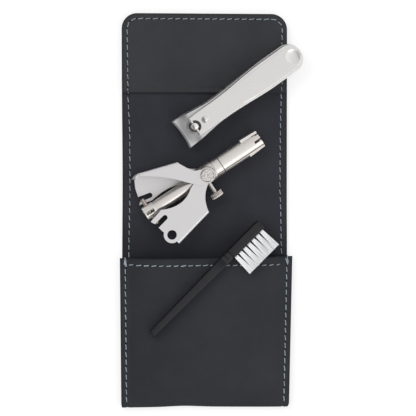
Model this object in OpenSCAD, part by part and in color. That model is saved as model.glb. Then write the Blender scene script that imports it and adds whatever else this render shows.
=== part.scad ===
// Leather manicure set case lying open, with the nail clipper, the squeeze-type
// nose-hair trimmer and the cleaning brush that belong to it.
// The origin is the centre of the case's underside, the flap points along +Y, +Z is up.

/* [Case] */
// Width of the back panel and flap
case_w = 70; // [62:1:80]
// Length of the open case from the bottom fold to the flap's end
case_l = 166.8; // [158:0.1:180]
// Thickness of the outer leather
leather_t = 1.2; // [0.9:0.1:1.6]
// Thickness of the lining
lining_t = 1.0; // [0.7:0.1:1.3]
// Radius of the flap's two outer corners
flap_corner_r = 5.9; // [3:0.1:9]
// Length of the facing leather on the flap
facing_l = 33.8; // [25:0.1:42]
// Thickness of the facing
facing_t = 1.1; // [0.7:0.1:1.3]
// Length of the flap beyond its fold line
flap_l = 53.7; // [50:0.1:57]
// Half the length of leather that bends when the flap folds
fold_half = 5; // [3:0.5:6]

/* [Pocket] */
// Depth of the pocket from its mouth to the bottom fold
pocket_l = 62.7; // [55:0.1:64]
// Width of the pocket front at its mouth
pocket_mouth_w = 73; // [71:0.1:76]
// Width of the pocket front at the bottom fold
pocket_foot_w = 70.8; // [70:0.1:73]
// Rise of the pocket front above its sewn sides
pocket_crown = 4.5; // [4.4:0.1:5]
// Width of the sewn margin along each pocket side
pocket_margin = 3; // [2:0.1:4]

/* [Stitching] */
// Distance from one stitch to the next
stitch_pitch = 3.1; // [2.6:0.1:4]
// Length of one stitch
stitch_l = 2.1; // [1.4:0.1:2.4]
// Width of the thread
stitch_w = 0.5; // [0.3:0.05:0.7]
// Height of a stitch above the leather
stitch_h = 0.3; // [0.2:0.05:0.5]
// Distance of the seam from the edge of the leather
seam_inset = 2.5; // [1.8:0.1:4]

/* [Clipper] */
// Place of the middle of the clipper's cutting edge along X
clipper_x = -10.8; // [-11:0.1:-9]
// Place of the middle of the clipper's cutting edge along Y
clipper_y = 32.7; // [32:0.1:34]
// Angle of the clipper on the case
clipper_a = 34.8; // [33:0.1:37]
// Length of the clipper
clipper_l = 61.8; // [58:0.1:64]
// Width of the cutting edge
jaw_w = 13.4; // [12:0.1:14]
// Thickness of each spring arm
arm_t = 1.5; // [1.2:0.1:1.7]
// Width of the arms at their waist
arm_waist_w = 10.1; // [9.6:0.1:11]
// Width of the arms near their rear end
arm_rear_w = 12.6; // [12:0.1:13.4]
// Rise of the upper arm from its hinge line to the jaw
arm_rise = 3.2; // [3:0.1:3.6]
// Distance from the cutting edge to the line where the arms are welded
weld_s = 50; // [48:0.5:52]
// Gap between the cutting edges at rest
jaw_gap = 1.95; // [1.8:0.05:2.3]
// Distance from the cutting edge to the post
post_s = 6.8; // [6.5:0.1:7.5]
// Diameter of the post
post_d = 3.0; // [2.4:0.1:3.2]
// Diameter of the post's ball head
ball_d = 3.6; // [3.2:0.1:4]
// Diameter of the cross pin
cross_pin_d = 1.2; // [1:0.1:1.3]
// Length of the cross pin
cross_pin_l = 8.0; // [7.6:0.1:8.4]
// Thickness of the lever
lever_t = 1.8; // [1.5:0.1:2]
// Width of the slot in the lever's fork
fork_slot_w = 5.3; // [4.8:0.1:5.6]
// Width of the lever across its fork
fork_w = 8.6; // [8.2:0.1:9]
// Width of the lever's waist
lever_waist_w = 8.9; // [8.4:0.1:9.4]
// Width of the lever near its rear end
lever_rear_w = 11.8; // [11:0.1:12.2]
// Diameter of the fulcrum dome on the lever
dome_d = 3.2; // [2.6:0.1:3.6]
// Diameter of the dished thumb rest
dish_d = 6.4; // [5:0.1:7]

/* [Trimmer] */
// Place of the trimmer's pivot along X
trimmer_x = -0.1; // [-1:0.1:1]
// Place of the trimmer's pivot along Y
trimmer_y = 16.0; // [15:0.1:16.5]
// Angle of the trimmer on the case
trimmer_a = 33; // [31:0.1:35]
// Outside diameter of the barrel
barrel_d = 7.8; // [7.2:0.1:8]
// Distance from the pivot to the barrel's tip
tip_a = 27.4; // [26:0.1:28]
// Distance from the pivot to the joint between collar and barrel
collar_a = 7.4; // [7:0.1:8]
// Outside diameter of the turning inner cutter
cutter_d = 5.6; // [5.2:0.1:5.6]
// Bore of the inner cutter
cutter_bore_d = 3.6; // [3:0.1:3.8]
// Distance from the pivot to the free end of the inner cutter
cutter_end_a = 30.9; // [30.5:0.1:32]
// Length of the crank yoke
yoke_l = 5; // [4.5:0.1:5]
// Diameter of the crank bar
crank_d = 1.6; // [1.4:0.1:1.8]
// Length of the crank bar
crank_l = 12.2; // [11:0.1:12.4]
// Thickness of the wings' sheet
wing_t = 0.7; // [0.6:0.05:0.8]
// Half the height of the housing across its two flats
housing_half_h = 3.6; // [3.6:0.05:3.8]
// Radius of the wings' eyes
eye_r = 3.35; // [3.1:0.05:3.6]
// Diameter of the rivet heads
rivet_head_d = 5.6; // [5:0.1:6]
// Height of the rivet heads
rivet_head_h = 0.6; // [0.5:0.05:0.7]
// Diameter of the rivet shanks
rivet_d = 1.8; // [1.6:0.1:2]
// Radius of the hole in wing B
wing_hole_r = 2.03; // [1.5:0.01:2.4]
// Width of the open slot in the broad plates
wing_slot_w = 2.2; // [1.8:0.1:2.6]
// Diameter of the thumb screw's head
screw_head_d = 5.5; // [5:0.1:6]
// Length of the thumb screw's head
screw_head_l = 2.3; // [2:0.1:2.8]
// Diameter of the thumb screw's shank
screw_d = 1.8; // [1.6:0.1:2]
// Distance from the barrel's axis to the thumb screw's head
screw_reach = 8.4; // [7.5:0.1:8.6]

/* [Brush] */
// Place of the brush handle's end along X
brush_x = -23.7; // [-25:0.1:-22]
// Place of the brush handle's end along Y
brush_y = -51.6; // [-53:0.1:-50]
// Angle of the brush on the case
brush_a = 45; // [43:0.1:47]
// Length of the brush
brush_l = 65.8; // [62:0.1:67]
// Width of the handle at its free end
handle_end_w = 2.8; // [2.6:0.1:3.4]
// Width of the handle at its neck
handle_neck_w = 3.8; // [3.6:0.1:4.6]
// Height of the handle
handle_h = 3.4; // [3:0.1:4]
// Length of the head bar
head_l = 19; // [18.6:0.1:20]
// Width of the head bar
head_w = 4.0; // [3.4:0.1:4.4]
// Height of the head bar
head_h = 4.4; // [4.2:0.1:4.8]
// Number of tufts
tufts = 7; // [6:1:7]
// Distance from one tuft to the next
tuft_pitch = 2.55; // [2.4:0.01:2.6]
// Width of a tuft at its root
tuft_w = 1.6; // [1.2:0.1:1.7]
// Free length of the bristles
bristle_l = 9.3; // [8:0.1:10]
// Bristles along and across a tuft
bristle_rows = 7; // [6:1:7]

/* [Clearances] */
// Gap between a tool and the leather that carries it
rest_gap = 0.15; // [0.1:0.05:0.3]
// Radial running clearance of pins and shafts
run_gap = 0.05; // [0.03:0.01:0.08]
// Gap between stacked flat plates that slide on each other
plate_gap = 0.05; // [0.04:0.01:0.1]
// Free clearance round pieces that only pass through
free_gap = 0.3; // [0.25:0.01:0.4]

/* [Hidden] */
$fn = 48;
eps = 0.01;

// Levels and lines of the case
panel_top = leather_t + lining_t;
flap_end_y = case_l / 2;
foot_y = -case_l / 2;
fold_y = flap_end_y - flap_l;
facing_y = flap_end_y - facing_l;
mouth_y = foot_y + pocket_l;
facing_top = panel_top + facing_t;
foot_turn_r = (2 * leather_t + lining_t) / 2;
front_y0 = foot_y + foot_turn_r;
pocket_half = case_w / 2 - pocket_margin;

// Colours as the photograph shows them
black_leather = [0.13, 0.13, 0.14];
grey_leather = [0.2, 0.2, 0.21];
thread_grey = [0.5, 0.55, 0.6];
steel = [0.78, 0.77, 0.76];
bright_steel = [0.85, 0.84, 0.83];
black_plastic = [0.06, 0.06, 0.065];
bristle_white = [0.9, 0.91, 0.92];

// Flat outline of the panel between two lines across the case
module panel_outline(y0, y1, w) {
    translate([-w / 2, y0]) square([w, y1 - y0]);
}

// Flat outline of the flap's leather from a line up to its rounded end
module flap_outline(y0, w) {
    r = flap_corner_r;
    panel_outline(y0, flap_end_y - r, w);
    translate([-w / 2 + r, y0]) square([w - 2 * r, flap_end_y - y0]);
    for (side = [-1, 1]) translate([side * (w / 2 - r), flap_end_y - r]) circle(r);
}

module case_back_panel() {
    color(black_leather)
        linear_extrude(leather_t) panel_outline(front_y0, fold_y - fold_half, case_w);
}

module case_lining() {
    color(black_leather)
        translate([0, 0, leather_t])
            linear_extrude(lining_t) panel_outline(front_y0, fold_y - fold_half, case_w);
}

// Half-round turn of the outer leather at the pocket's bottom
module pocket_bottom_fold() {
    color(grey_leather)
        translate([-case_w / 2, front_y0, foot_turn_r]) rotate([90, 0, 90])
            linear_extrude(case_w) intersection() {
                difference() {
                    circle(foot_turn_r);
                    circle(foot_turn_r - leather_t);
                }
                translate([-foot_turn_r, -foot_turn_r])
                    square([foot_turn_r, 2 * foot_turn_r]);
            }
}

// Height of the pocket front's underside above the lining, across and along the pocket
function crown_across(x) = abs(x) >= pocket_half ? 0 : 1 - pow(abs(x) / pocket_half, 6);
function crown_along(v) = 1 - pow(1 - min(1, v / 0.16), 2);
function crown_at(x, v) = pocket_crown * crown_across(x) * crown_along(v);
function front_half_w(v) = (pocket_foot_w + (pocket_mouth_w - pocket_foot_w) * v) / 2;

// Sheet whose top follows the crown, as one closed skin of points
front_cols = 24;
front_rows = 14;
function front_v(j) = pow(j / front_rows, 1.5);
function front_point(i, j, lift) =
    let (v = front_v(j), x = front_half_w(v) * (2 * i / front_cols - 1))
    [x, front_y0 + v * (mouth_y - front_y0), panel_top + crown_at(x, v) + lift];

module pocket_front() {
    n = front_cols + 1;
    m = front_rows + 1;
    under = [for (j = [0:front_rows], i = [0:front_cols]) front_point(i, j, 0)];
    over = [for (j = [0:front_rows], i = [0:front_cols]) front_point(i, j, leather_t)];
    top = n * m;
    skins = [for (j = [0:front_rows - 1], i = [0:front_cols - 1])
        let (a = j * n + i, b = a + 1, c = a + n, d = c + 1)
        each [[a, b, d], [a, d, c], [top + a, top + d, top + b], [top + a, top + c, top + d]]];
    ends = [for (i = [0:front_cols - 1])
        let (a = i, c = front_rows * n + i)
        each [[a, top + a, top + a + 1], [a, top + a + 1, a + 1],
              [c, c + 1, top + c + 1], [c, top + c + 1, top + c]]];
    sides = [for (j = [0:front_rows - 1])
        let (a = j * n, b = a + front_cols)
        each [[a, a + n, top + a + n], [a, top + a + n, top + a],
              [b, top + b, top + b + n], [b, top + b + n, b + n]]];
    color(grey_leather) polyhedron(concat(under, over), concat(skins, ends, sides));
}

// The bending stretch between case and flap
module fold_leather() {
    color(black_leather)
        linear_extrude(leather_t)
            panel_outline(fold_y - fold_half, fold_y + fold_half, case_w);
}

module fold_lining() {
    color(black_leather)
        translate([0, 0, leather_t])
            linear_extrude(lining_t)
                panel_outline(fold_y - fold_half, fold_y + fold_half, case_w);
}

module flap_panel() {
    color(black_leather) linear_extrude(leather_t) flap_outline(fold_y + fold_half, case_w);
}

module flap_lining() {
    color(black_leather)
        translate([0, 0, leather_t])
            linear_extrude(lining_t) flap_outline(fold_y + fold_half, case_w);
}

module flap_facing() {
    color(grey_leather)
        translate([0, 0, panel_top]) linear_extrude(facing_t) flap_outline(facing_y, case_w);
}

// One stitch lying on the leather, along +Y
module stitch() {
    translate([-stitch_w / 2, -stitch_l / 2, 0]) cube([stitch_w, stitch_l, stitch_h]);
}

// Stitch places along a side seam, counted from the flap's rounded end
seam_x = case_w / 2 - seam_inset;
side_seam_top = flap_end_y - flap_corner_r;
function side_seam_y(k) = side_seam_top - stitch_pitch / 2 - k * stitch_pitch;
side_count = floor((side_seam_top - mouth_y) / stitch_pitch) - 1;
side_ys = [for (k = [0:side_count]) side_seam_y(k)];

module side_stitches(y_low, y_high, level) {
    for (y = side_ys)
        if (y - stitch_l / 2 > y_low && y + stitch_l / 2 < y_high)
            for (side = [-1, 1]) translate([side * seam_x, y, level]) stitch();
}

module panel_seam_thread() {
    color(thread_grey) side_stitches(mouth_y, fold_y - fold_half, panel_top);
}

module fold_seam_thread() {
    color(thread_grey)
        for (y = side_ys)
            if (abs(y - fold_y) <= fold_half + stitch_l / 2)
                for (side = [-1, 1]) translate([side * seam_x, y, panel_top]) stitch();
}

module flap_seam_thread() {
    top_count = floor((case_w - 2 * flap_corner_r) / stitch_pitch);
    corner_r = flap_corner_r - seam_inset;
    color(thread_grey) {
        side_stitches(fold_y + fold_half, facing_y, panel_top);
        side_stitches(facing_y, flap_end_y, facing_top);
        for (k = [0:top_count - 1])
            translate([(k - (top_count - 1) / 2) * stitch_pitch,
                       flap_end_y - seam_inset, facing_top])
                rotate(90) stitch();
        for (side = [-1, 1])
            translate([side * (case_w / 2 - flap_corner_r), side_seam_top, facing_top])
                rotate(side * -45) translate([0, corner_r, 0]) rotate(90) stitch();
    }
}

// Stitches down both sides of the pocket and along its hem
module pocket_seam_thread() {
    level = panel_top + leather_t;
    count = floor((pocket_l - foot_turn_r - stitch_pitch) / stitch_pitch);
    color(thread_grey)
        for (k = [0:count - 1]) {
            y = mouth_y - stitch_pitch * (k + 0.75);
            v = (y - front_y0) / (mouth_y - front_y0);
            for (side = [-1, 1])
                translate([side * (front_half_w(v) - seam_inset), y, level]) stitch();
        }
}

// Moves the clipper's pieces from their own frame to the case, level on the facing and
// its stitches. In that frame +X runs along the tool and +Z is up
clipper_z = facing_top + stitch_h + rest_gap;
module place_clipper() {
    translate([clipper_x, clipper_y, clipper_z]) rotate(clipper_a) children();
}

// Plan of an arm: straight-sided waist, rounded rear, slightly hollow cutting edge
arm_end_r = arm_rear_w / 2;
jaw_neck_s = 9;
waist_s = 19;
broad_s = 48;
edge_hollow = 0.6;
function smooth(u) = u * u * (3 - 2 * u);
function blend(a, b, u) = a + (b - a) * smooth(max(0, min(1, u)));
function arm_half(s) = s < waist_s
    ? blend(jaw_w / 2, arm_waist_w / 2, s / waist_s)
    : blend(arm_waist_w / 2, arm_rear_w / 2, (s - waist_s) / (broad_s - waist_s));
arm_rear_s = clipper_l - arm_end_r;
arm_stations = [0, 2, 5, 9, 14, 19, 25, 31, 37, 43, 48, arm_rear_s];

module arm_plan() {
    upper = [for (s = arm_stations) [s, arm_half(s)]];
    round_end = [for (a = [75:-15:-75])
        [arm_rear_s + arm_end_r * cos(a), arm_end_r * sin(a)]];
    lower = [for (k = [len(arm_stations) - 1:-1:0])
        [arm_stations[k], -arm_half(arm_stations[k])]];
    edge = [for (u = [-0.8:0.2:0.8]) [edge_hollow * (1 - u * u), u * jaw_w / 2]];
    polygon(concat(upper, round_end, lower, edge));
}

// Heights of the jaws: the arms thin down to two cutting edges. The points are
// [distance from the edge, height], over the arms' flat faces where the name says so
edge_t = 0.3;
lower_jaw_under = [[1.6, 1.55], [4, 0.75], [6.5, 0.2]];
lower_jaw_over = [[5.5, 0.15], [2.5, 0.6]];
upper_jaw_under = [3, -0.05];
upper_jaw_over = [1.4, -0.6];
lower_edge_z = 2.6;
jaw_slope_s = 3.6;
upper_edge_z = lower_edge_z + jaw_gap;
arm_slope = arm_rise / (weld_s - jaw_neck_s);
upper_under = arm_t + arm_rise;

module lower_profile() {
    polygon(concat([[0, lower_edge_z - edge_t]], lower_jaw_under,
                   [[jaw_neck_s, 0], [clipper_l, 0], [clipper_l, arm_t], [jaw_neck_s, arm_t]],
                   [for (p = lower_jaw_over) p + [0, arm_t]], [[0, lower_edge_z]]));
}

module upper_profile() {
    polygon([[0, upper_edge_z], upper_jaw_under + [0, upper_under], [jaw_neck_s, upper_under],
             [weld_s, arm_t], [clipper_l, arm_t], [clipper_l, 2 * arm_t],
             [weld_s, 2 * arm_t], [jaw_neck_s, upper_under + arm_t],
             [jaw_slope_s, upper_under + arm_t], upper_jaw_over + [0, upper_under + arm_t],
             [0, upper_edge_z + edge_t]]);
}

// Turns a profile drawn as [along, up] into a wall across the whole tool
module across(w) {
    rotate([90, 0, 0]) linear_extrude(w, center = true) children();
}

// The post's flange sits in a counterbore of the lower arm, just off the arm's underside
flange_h = 0.5;
flange_rim = 0.8;
flange_d = post_d + 2 * flange_rim;
flange_z = 0.02;
module clipper_lower_arm() {
    color(steel) place_clipper() difference() {
        intersection() {
            linear_extrude(10) arm_plan();
            across(jaw_w + 4) lower_profile();
        }
        translate([post_s, 0, -1]) cylinder(d = post_d + 2 * run_gap, h = arm_t + 2);
        translate([post_s, 0, -1]) cylinder(d = flange_d + 2 * free_gap, h = 1 + flange_h + run_gap);
    }
}

ring_r = 3.15;
ring_h = 0.25;
post_hole_d = post_d + 2 * free_gap;
module clipper_upper_arm() {
    color(steel) place_clipper() difference() {
        union() {
            intersection() {
                linear_extrude(10) arm_plan();
                across(jaw_w + 4) upper_profile();
            }
            translate([post_s, 0, upper_under + arm_t / 2])
                cylinder(r = ring_r, h = arm_t / 2 + ring_h);
        }
        translate([post_s, 0, 0]) cylinder(d = post_hole_d, h = 10);
        translate([post_s, 0, upper_under + arm_t]) cylinder(d = fork_slot_w, h = 1);
    }
}

// The post carries the lever: a bottom flange, a ball head and a cross bore
lever_lift = 0.5;
ball_lift = 0.4;
pin_z = upper_under + arm_t + lever_lift + lever_t / 2;
ball_z = pin_z + ball_lift;
module clipper_post() {
    color(bright_steel) place_clipper() difference() {
        union() {
            translate([post_s, 0, flange_z]) cylinder(d = flange_d, h = flange_h - flange_z);
            translate([post_s, 0, flange_z]) cylinder(d = post_d, h = ball_z - flange_z);
            translate([post_s, 0, ball_z]) sphere(d = ball_d);
        }
        translate([post_s, 0, pin_z]) rotate([90, 0, 0])
            cylinder(d = cross_pin_d, h = 10, center = true);
    }
}

module clipper_cross_pin() {
    color(bright_steel) place_clipper()
        translate([post_s, 0, pin_z]) rotate([90, 0, 0])
            cylinder(d = cross_pin_d, h = cross_pin_l, center = true);
}

// The lever in its own plane: X runs from the pin to the thumb end
lever_l = clipper_l - post_s;
lever_slope = 3.2;
lever_nose = lever_t / 2;
lever_waist_x = 12;
lever_broad_x = 38;
lever_end_r = 0.95 * lever_rear_w / 2;
lever_round_x = lever_l - lever_end_r;
function lever_half(x) = x < lever_waist_x
    ? blend(fork_w / 2, lever_waist_w / 2, x / 5)
    : blend(lever_waist_w / 2, lever_rear_w / 2, (x - lever_waist_x) / (lever_broad_x - lever_waist_x));

module lever_plan() {
    stations = [0, 1.5, 3, 5, 12, 17, 22, 27, 32, 38, 44, lever_round_x];
    difference() {
        polygon(concat(
            [[-lever_nose, fork_w / 2]],
            [for (x = stations) [x, lever_half(x)]],
            [for (a = [75:-15:-75])
                [lever_round_x + lever_end_r * cos(a), lever_rear_w / 2 * sin(a)]],
            [for (k = [len(stations) - 1:-1:0]) [stations[k], -lever_half(stations[k])]],
            [[-lever_nose, -fork_w / 2]]));
        circle(d = fork_slot_w);
        translate([-5, -fork_slot_w / 2]) square([5, fork_slot_w]);
    }
}

dome_x = 5.3;
dome_h = 0.8;
dish_inset = 4.0;
dish_x = lever_l - dish_inset;
dish_depth = 0.6;
// Radius of the ball whose cap has the given base and height
function cap_ball_r(base_r, height) = (base_r * base_r + height * height) / (2 * height);
module clipper_lever() {
    dome_ball = cap_ball_r(dome_d / 2, dome_h);
    dish_ball = cap_ball_r(dish_d / 2, dish_depth);
    color(bright_steel) place_clipper() translate([post_s, 0, pin_z]) rotate([0, lever_slope, 0])
        difference() {
            union() {
                intersection() {
                    translate([0, 0, -lever_t / 2]) linear_extrude(lever_t) lever_plan();
                    across(jaw_w + 4) union() {
                        circle(lever_nose);
                        translate([0, -lever_nose]) square([lever_l + 1, lever_t]);
                    }
                }
                intersection() {
                    translate([dome_x, 0, lever_t / 2 + dome_h - dome_ball]) sphere(dome_ball);
                    translate([dome_x, 0, 0]) cylinder(d = dome_d, h = lever_t);
                }
            }
            translate([dish_x, 0, lever_t / 2 - dish_depth + dish_ball]) sphere(dish_ball);
            rotate([90, 0, 0]) cylinder(d = cross_pin_d + 2 * run_gap, h = jaw_w, center = true);
        }
}

// The trimmer's frame: X runs along the barrel to the tip, Y to the thumb screw
plate_in = housing_half_h + plate_gap;
plate_out = plate_in + wing_t;
arm_in = plate_out + plate_gap;
arm_out = arm_in + wing_t;
stack_half_h = arm_out + plate_gap + rivet_head_h;
trimmer_z = panel_top + rest_gap + stack_half_h;
module place_trimmer() {
    translate([trimmer_x, trimmer_y, trimmer_z]) rotate([0, 0, trimmer_a])
        mirror([0, 1, 0]) children();
}

// A straight round bar or hole along the trimmer
module along(x0, x1, r) {
    translate([x0, 0, 0]) rotate([0, 90, 0]) cylinder(r = r, h = x1 - x0);
}

barrel_r = barrel_d / 2;
cutter_r = cutter_d / 2;
bore_r = cutter_r + run_gap;
housing_back_x = -4.6;
housing_front_x = eye_r + 0.1;
housing_r = 4.1;
screw_x = -0.96;
spring_wall = 0.4;
spring_t = 0.32;
spring_x0 = housing_front_x + spring_wall;
spring_x1 = collar_a - spring_wall;
spring_room_r = bore_r + spring_t + 0.1;
module trimmer_housing() {
    color(steel) place_trimmer() difference() {
        union() {
            intersection() {
                along(housing_back_x, housing_front_x, housing_r);
                translate([housing_back_x, -housing_r, -housing_half_h])
                    cube([housing_front_x - housing_back_x, 2 * housing_r, 2 * housing_half_h]);
            }
            along(housing_front_x - eps, collar_a, barrel_r);
        }
        along(housing_back_x - 1, collar_a + 1, bore_r);
        along(spring_x0, spring_x1, spring_room_r);
        cylinder(d = rivet_d, h = 2 * housing_r, center = true);
        translate([screw_x, 0, 0]) rotate([-90, 0, 0])
            cylinder(d = screw_d + 2 * run_gap, h = housing_r + 1);
    }
}

// Fixed outer cutter: slit along its side, slots and teeth at the tip
tip_slot_w = 1.0;
tip_slot_l = 3;
tip_slots = 6;
side_slit_w = 0.5;
side_slit_gap = 1.2;
tip_plate_l = 7.8;
tip_plate_w = 4;
tip_plate_rise = 0.35;
tip_plate_back = 1.2;
module trimmer_barrel() {
    color(steel) place_trimmer() difference() {
        union() {
            along(collar_a, tip_a, barrel_r);
            for (turn = [60, 240]) rotate([turn, 0, 0])
                intersection() {
                    along(tip_a - tip_plate_back - tip_plate_l, tip_a - tip_plate_back,
                          barrel_r + tip_plate_rise);
                    translate([0, -tip_plate_w / 2, 0]) cube([tip_a, tip_plate_w, barrel_d]);
                }
        }
        along(collar_a - 1, tip_a + 1, bore_r);
        for (k = [0:tip_slots - 1]) rotate([30 + k * 360 / tip_slots, 0, 0])
            translate([tip_a - tip_slot_l, -tip_slot_w / 2, 0])
                cube([tip_slot_l + 1, tip_slot_w, barrel_r + 1]);
        rotate([-50, 0, 0]) translate([collar_a + side_slit_gap, -side_slit_w / 2, 0])
            cube([tip_a - tip_slot_l - collar_a - 2 * side_slit_gap, side_slit_w, barrel_d]);
    }
}

module rivet() {
    translate([0, 0, bore_r + 0.05]) cylinder(d = rivet_d, h = arm_out + plate_gap - bore_r);
    translate([0, 0, arm_out + plate_gap]) cylinder(d = rivet_head_d, h = rivet_head_h);
}

module trimmer_front_rivet() {
    color(steel) place_trimmer() rivet();
}

module trimmer_back_rivet() {
    color(steel) place_trimmer() mirror([0, 0, 1]) rivet();
}

// Torsion spring between collar and inner cutter, hidden inside, drawn as its envelope
module trimmer_return_spring() {
    spring_r = spring_room_r - run_gap;
    color(steel) place_trimmer() difference() {
        along(spring_x0 + run_gap, spring_x1 - run_gap, spring_r);
        along(spring_x0, spring_x1, spring_r - spring_t);
    }
}

// Outlines of the wings as points from the pivot. Both wings share the slot and the
// inner edges. The boss makes wing B's plate wider, so its wall stands further out
function wing_corner(with_boss) = with_boss ? [-8.0, 14.1] : [-7.9, 12.2];
function wall_end(with_boss) = with_boss ? [-25.4, 18.1] : [-25.3, 15.9];
slot_root = [-24.7, 5.2];
slot_mouth = [-31.5, 6.7];
boss_at = [-26.2, 13.0];
boss_r = 3.5;
plate_start = [2, 2.6];
plate_outer = [[-1.2, 3.1], [-7.0, 6.4]];
plate_end_with_boss = [[-25.9, 16.2], [-26.2, 15.0], [-28.5, 10.4]];
plate_end_plain = [[-26.6, 14.2], [-28.4, 10.2]];
plate_end_inner = [[-29.1, 8.0], [-30.2, 5.4], [-30.7, 3.4]];
plate_inner = [[-24.3, 1.6], [-15.5, 6.2], [-8.8, 0.9]];
plate_back = [-2.6, -2.1];
wing_arm_outer = [[-0.5, 3.3], [-3.6, 4.6], [-5.4, 7.2]];
wing_arm_inner = [[-24.6, 15.3], [-15.8, 10.2], [-8.4, 2.2]];
wing_arm_back = [-2.2, -2.5];

// Smooth curve from the first of three points to the last, drawn towards the middle one
function bow(p, n) = [for (k = [0:n])
    let (u = k / n) (1 - u) * (1 - u) * p[0] + 2 * u * (1 - u) * p[1] + u * u * p[2]];

module broad_plate(with_boss) {
    difference() {
        union() {
            circle(eye_r);
            polygon(concat([plate_start], bow(concat(plate_outer, [wing_corner(with_boss)]), 8),
                           [wall_end(with_boss)],
                           with_boss ? plate_end_with_boss : plate_end_plain,
                           plate_end_inner, bow(plate_inner, 8), [plate_back]));
            if (with_boss) translate(boss_at) circle(boss_r);
        }
        if (with_boss) translate(boss_at) circle(wing_hole_r);
        hull() {
            translate(slot_root) circle(d = wing_slot_w);
            translate(slot_mouth) circle(d = wing_slot_w);
        }
    }
}

module narrow_arm(with_boss) {
    circle(eye_r);
    polygon(concat(bow(wing_arm_outer, 5), [wing_corner(with_boss), wall_end(with_boss)],
                   bow(wing_arm_inner, 8), [wing_arm_back]));
}

// The finger wall follows the outer edge and joins arm and plate
module finger_wall(with_boss) {
    corner = wing_corner(with_boss);
    run = wall_end(with_boss) - corner;
    translate([corner[0], corner[1], -arm_out]) rotate(atan2(run[1], run[0]))
        translate([wing_t, 0, 0]) cube([norm(run) - wing_t, wing_t, arm_out + plate_out]);
}

module wing(with_boss) {
    difference() {
        union() {
            translate([0, 0, plate_in]) linear_extrude(wing_t) broad_plate(with_boss);
            translate([0, 0, -arm_out]) linear_extrude(wing_t) narrow_arm(with_boss);
            finger_wall(with_boss);
        }
        cylinder(d = rivet_d + 2 * run_gap, h = 3 * arm_out, center = true);
    }
}

module trimmer_wing_b() {
    color(bright_steel) place_trimmer() wing(true);
}

// The second stamping is turned half a turn about the barrel
module trimmer_wing_a() {
    color(bright_steel) place_trimmer() rotate([180, 0, 0]) wing(false);
}

// The cutter's end is turned down to a spigot, and the yoke is pressed over it
spigot_r = cutter_r - 0.4;
spigot_x = -cutter_end_a + 0.4;
yoke_x = -cutter_end_a + yoke_l;
yoke_r = cutter_r + 0.3;
crank_x = yoke_x - 0.52 * yoke_l;
yoke_slot_w = 1.5;
yoke_slot_l = 3.8;
tooth_l = 2.8;
tooth_inset = 0.6;
module trimmer_inner_cutter() {
    color(bright_steel) place_trimmer() difference() {
        union() {
            along(yoke_x, tip_a - tooth_inset, cutter_r);
            along(spigot_x, yoke_x + eps, spigot_r);
        }
        along(-cutter_end_a - 1, tip_a + 1, cutter_bore_d / 2);
        for (k = [0:2]) rotate([k * 120, 0, 0])
            translate([tip_a - tooth_inset - tooth_l, -tip_slot_w / 2, 0])
                cube([tooth_l + 1, tip_slot_w, cutter_d]);
        translate([crank_x, 0, 0]) rotate([90, 0, 0])
            cylinder(d = crank_d, h = 2 * cutter_r, center = true);
        translate([-cutter_end_a, -yoke_slot_w / 2, 0])
            cube([yoke_slot_l + 0.5, yoke_slot_w, cutter_d]);
    }
}

module trimmer_crank_yoke() {
    color(bright_steel) place_trimmer() difference() {
        along(-cutter_end_a, yoke_x, yoke_r);
        along(-cutter_end_a - 1, yoke_x + 1, spigot_r);
        translate([crank_x, 0, 0]) rotate([90, 0, 0])
            cylinder(d = crank_d, h = 2 * yoke_r + 1, center = true);
        translate([-cutter_end_a + 0.5, -yoke_slot_w / 2, 0])
            cube([yoke_slot_l, yoke_slot_w, cutter_d]);
    }
}

module trimmer_crank_bar() {
    color(steel) place_trimmer()
        translate([crank_x, 0, 0]) rotate([90, 0, 0])
            cylinder(d = crank_d, h = crank_l, center = true);
}

knurls = 24;
knurl_cut = 0.3;
module trimmer_thumb_screw() {
    color(steel) place_trimmer() translate([screw_x, 0, 0]) rotate([-90, 0, 0]) {
        translate([0, 0, bore_r + 0.1]) cylinder(d = screw_d, h = screw_reach - bore_r);
        difference() {
            translate([0, 0, screw_reach]) cylinder(d = screw_head_d, h = screw_head_l);
            for (k = [0:knurls - 1]) rotate(k * 360 / knurls)
                translate([screw_head_d / 2, 0, screw_reach + screw_head_l / 2]) rotate(45)
                    cube([knurl_cut, knurl_cut, 2 * screw_head_l], center = true);
        }
    }
}

// The brush lies on its side on the pocket front, bristles to the lower right.
// In its frame X runs from the handle's end to the head and Y along the bristles
brush_z = panel_top + pocket_crown + leather_t + rest_gap;
neck_x = brush_l - head_l;
module place_brush() {
    translate([brush_x, brush_y, brush_z]) rotate(brush_a) mirror([0, 1, 0]) children();
}

strip_t = 0.6;
strip_rim = 0.3;
strip_l = (tufts - 1) * tuft_pitch + tuft_w + 2 * strip_rim;
strip_h = head_h - 0.8;
first_tuft_x = neck_x + (head_l - (tufts - 1) * tuft_pitch) / 2;
strip_x = first_tuft_x - tuft_w / 2 - strip_rim;
neck_taper = 3;
handle_chamfer = 0.5;
head_chamfer = 0.8;
module brush_handle() {
    color(black_plastic) place_brush() difference() {
        union() {
            translate([0, 0, (head_h - handle_h) / 2]) linear_extrude(handle_h)
                polygon([[0, -handle_end_w / 2 + handle_chamfer], [handle_chamfer, -handle_end_w / 2],
                         [neck_x - neck_taper, -handle_neck_w / 2], [neck_x, -head_w / 2],
                         [neck_x, head_w / 2], [neck_x - neck_taper, handle_neck_w / 2],
                         [handle_chamfer, handle_end_w / 2], [0, handle_end_w / 2 - handle_chamfer]]);
            linear_extrude(head_h)
                polygon([[neck_x - eps, -head_w / 2], [brush_l - head_chamfer, -head_w / 2],
                         [brush_l, -head_w / 2 + head_chamfer], [brush_l, head_w / 2],
                         [neck_x - eps, head_w / 2]]);
        }
        translate([strip_x, head_w / 2 - strip_t, (head_h - strip_h) / 2])
            cube([strip_l, 2 * strip_t, strip_h]);
    }
}

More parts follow.
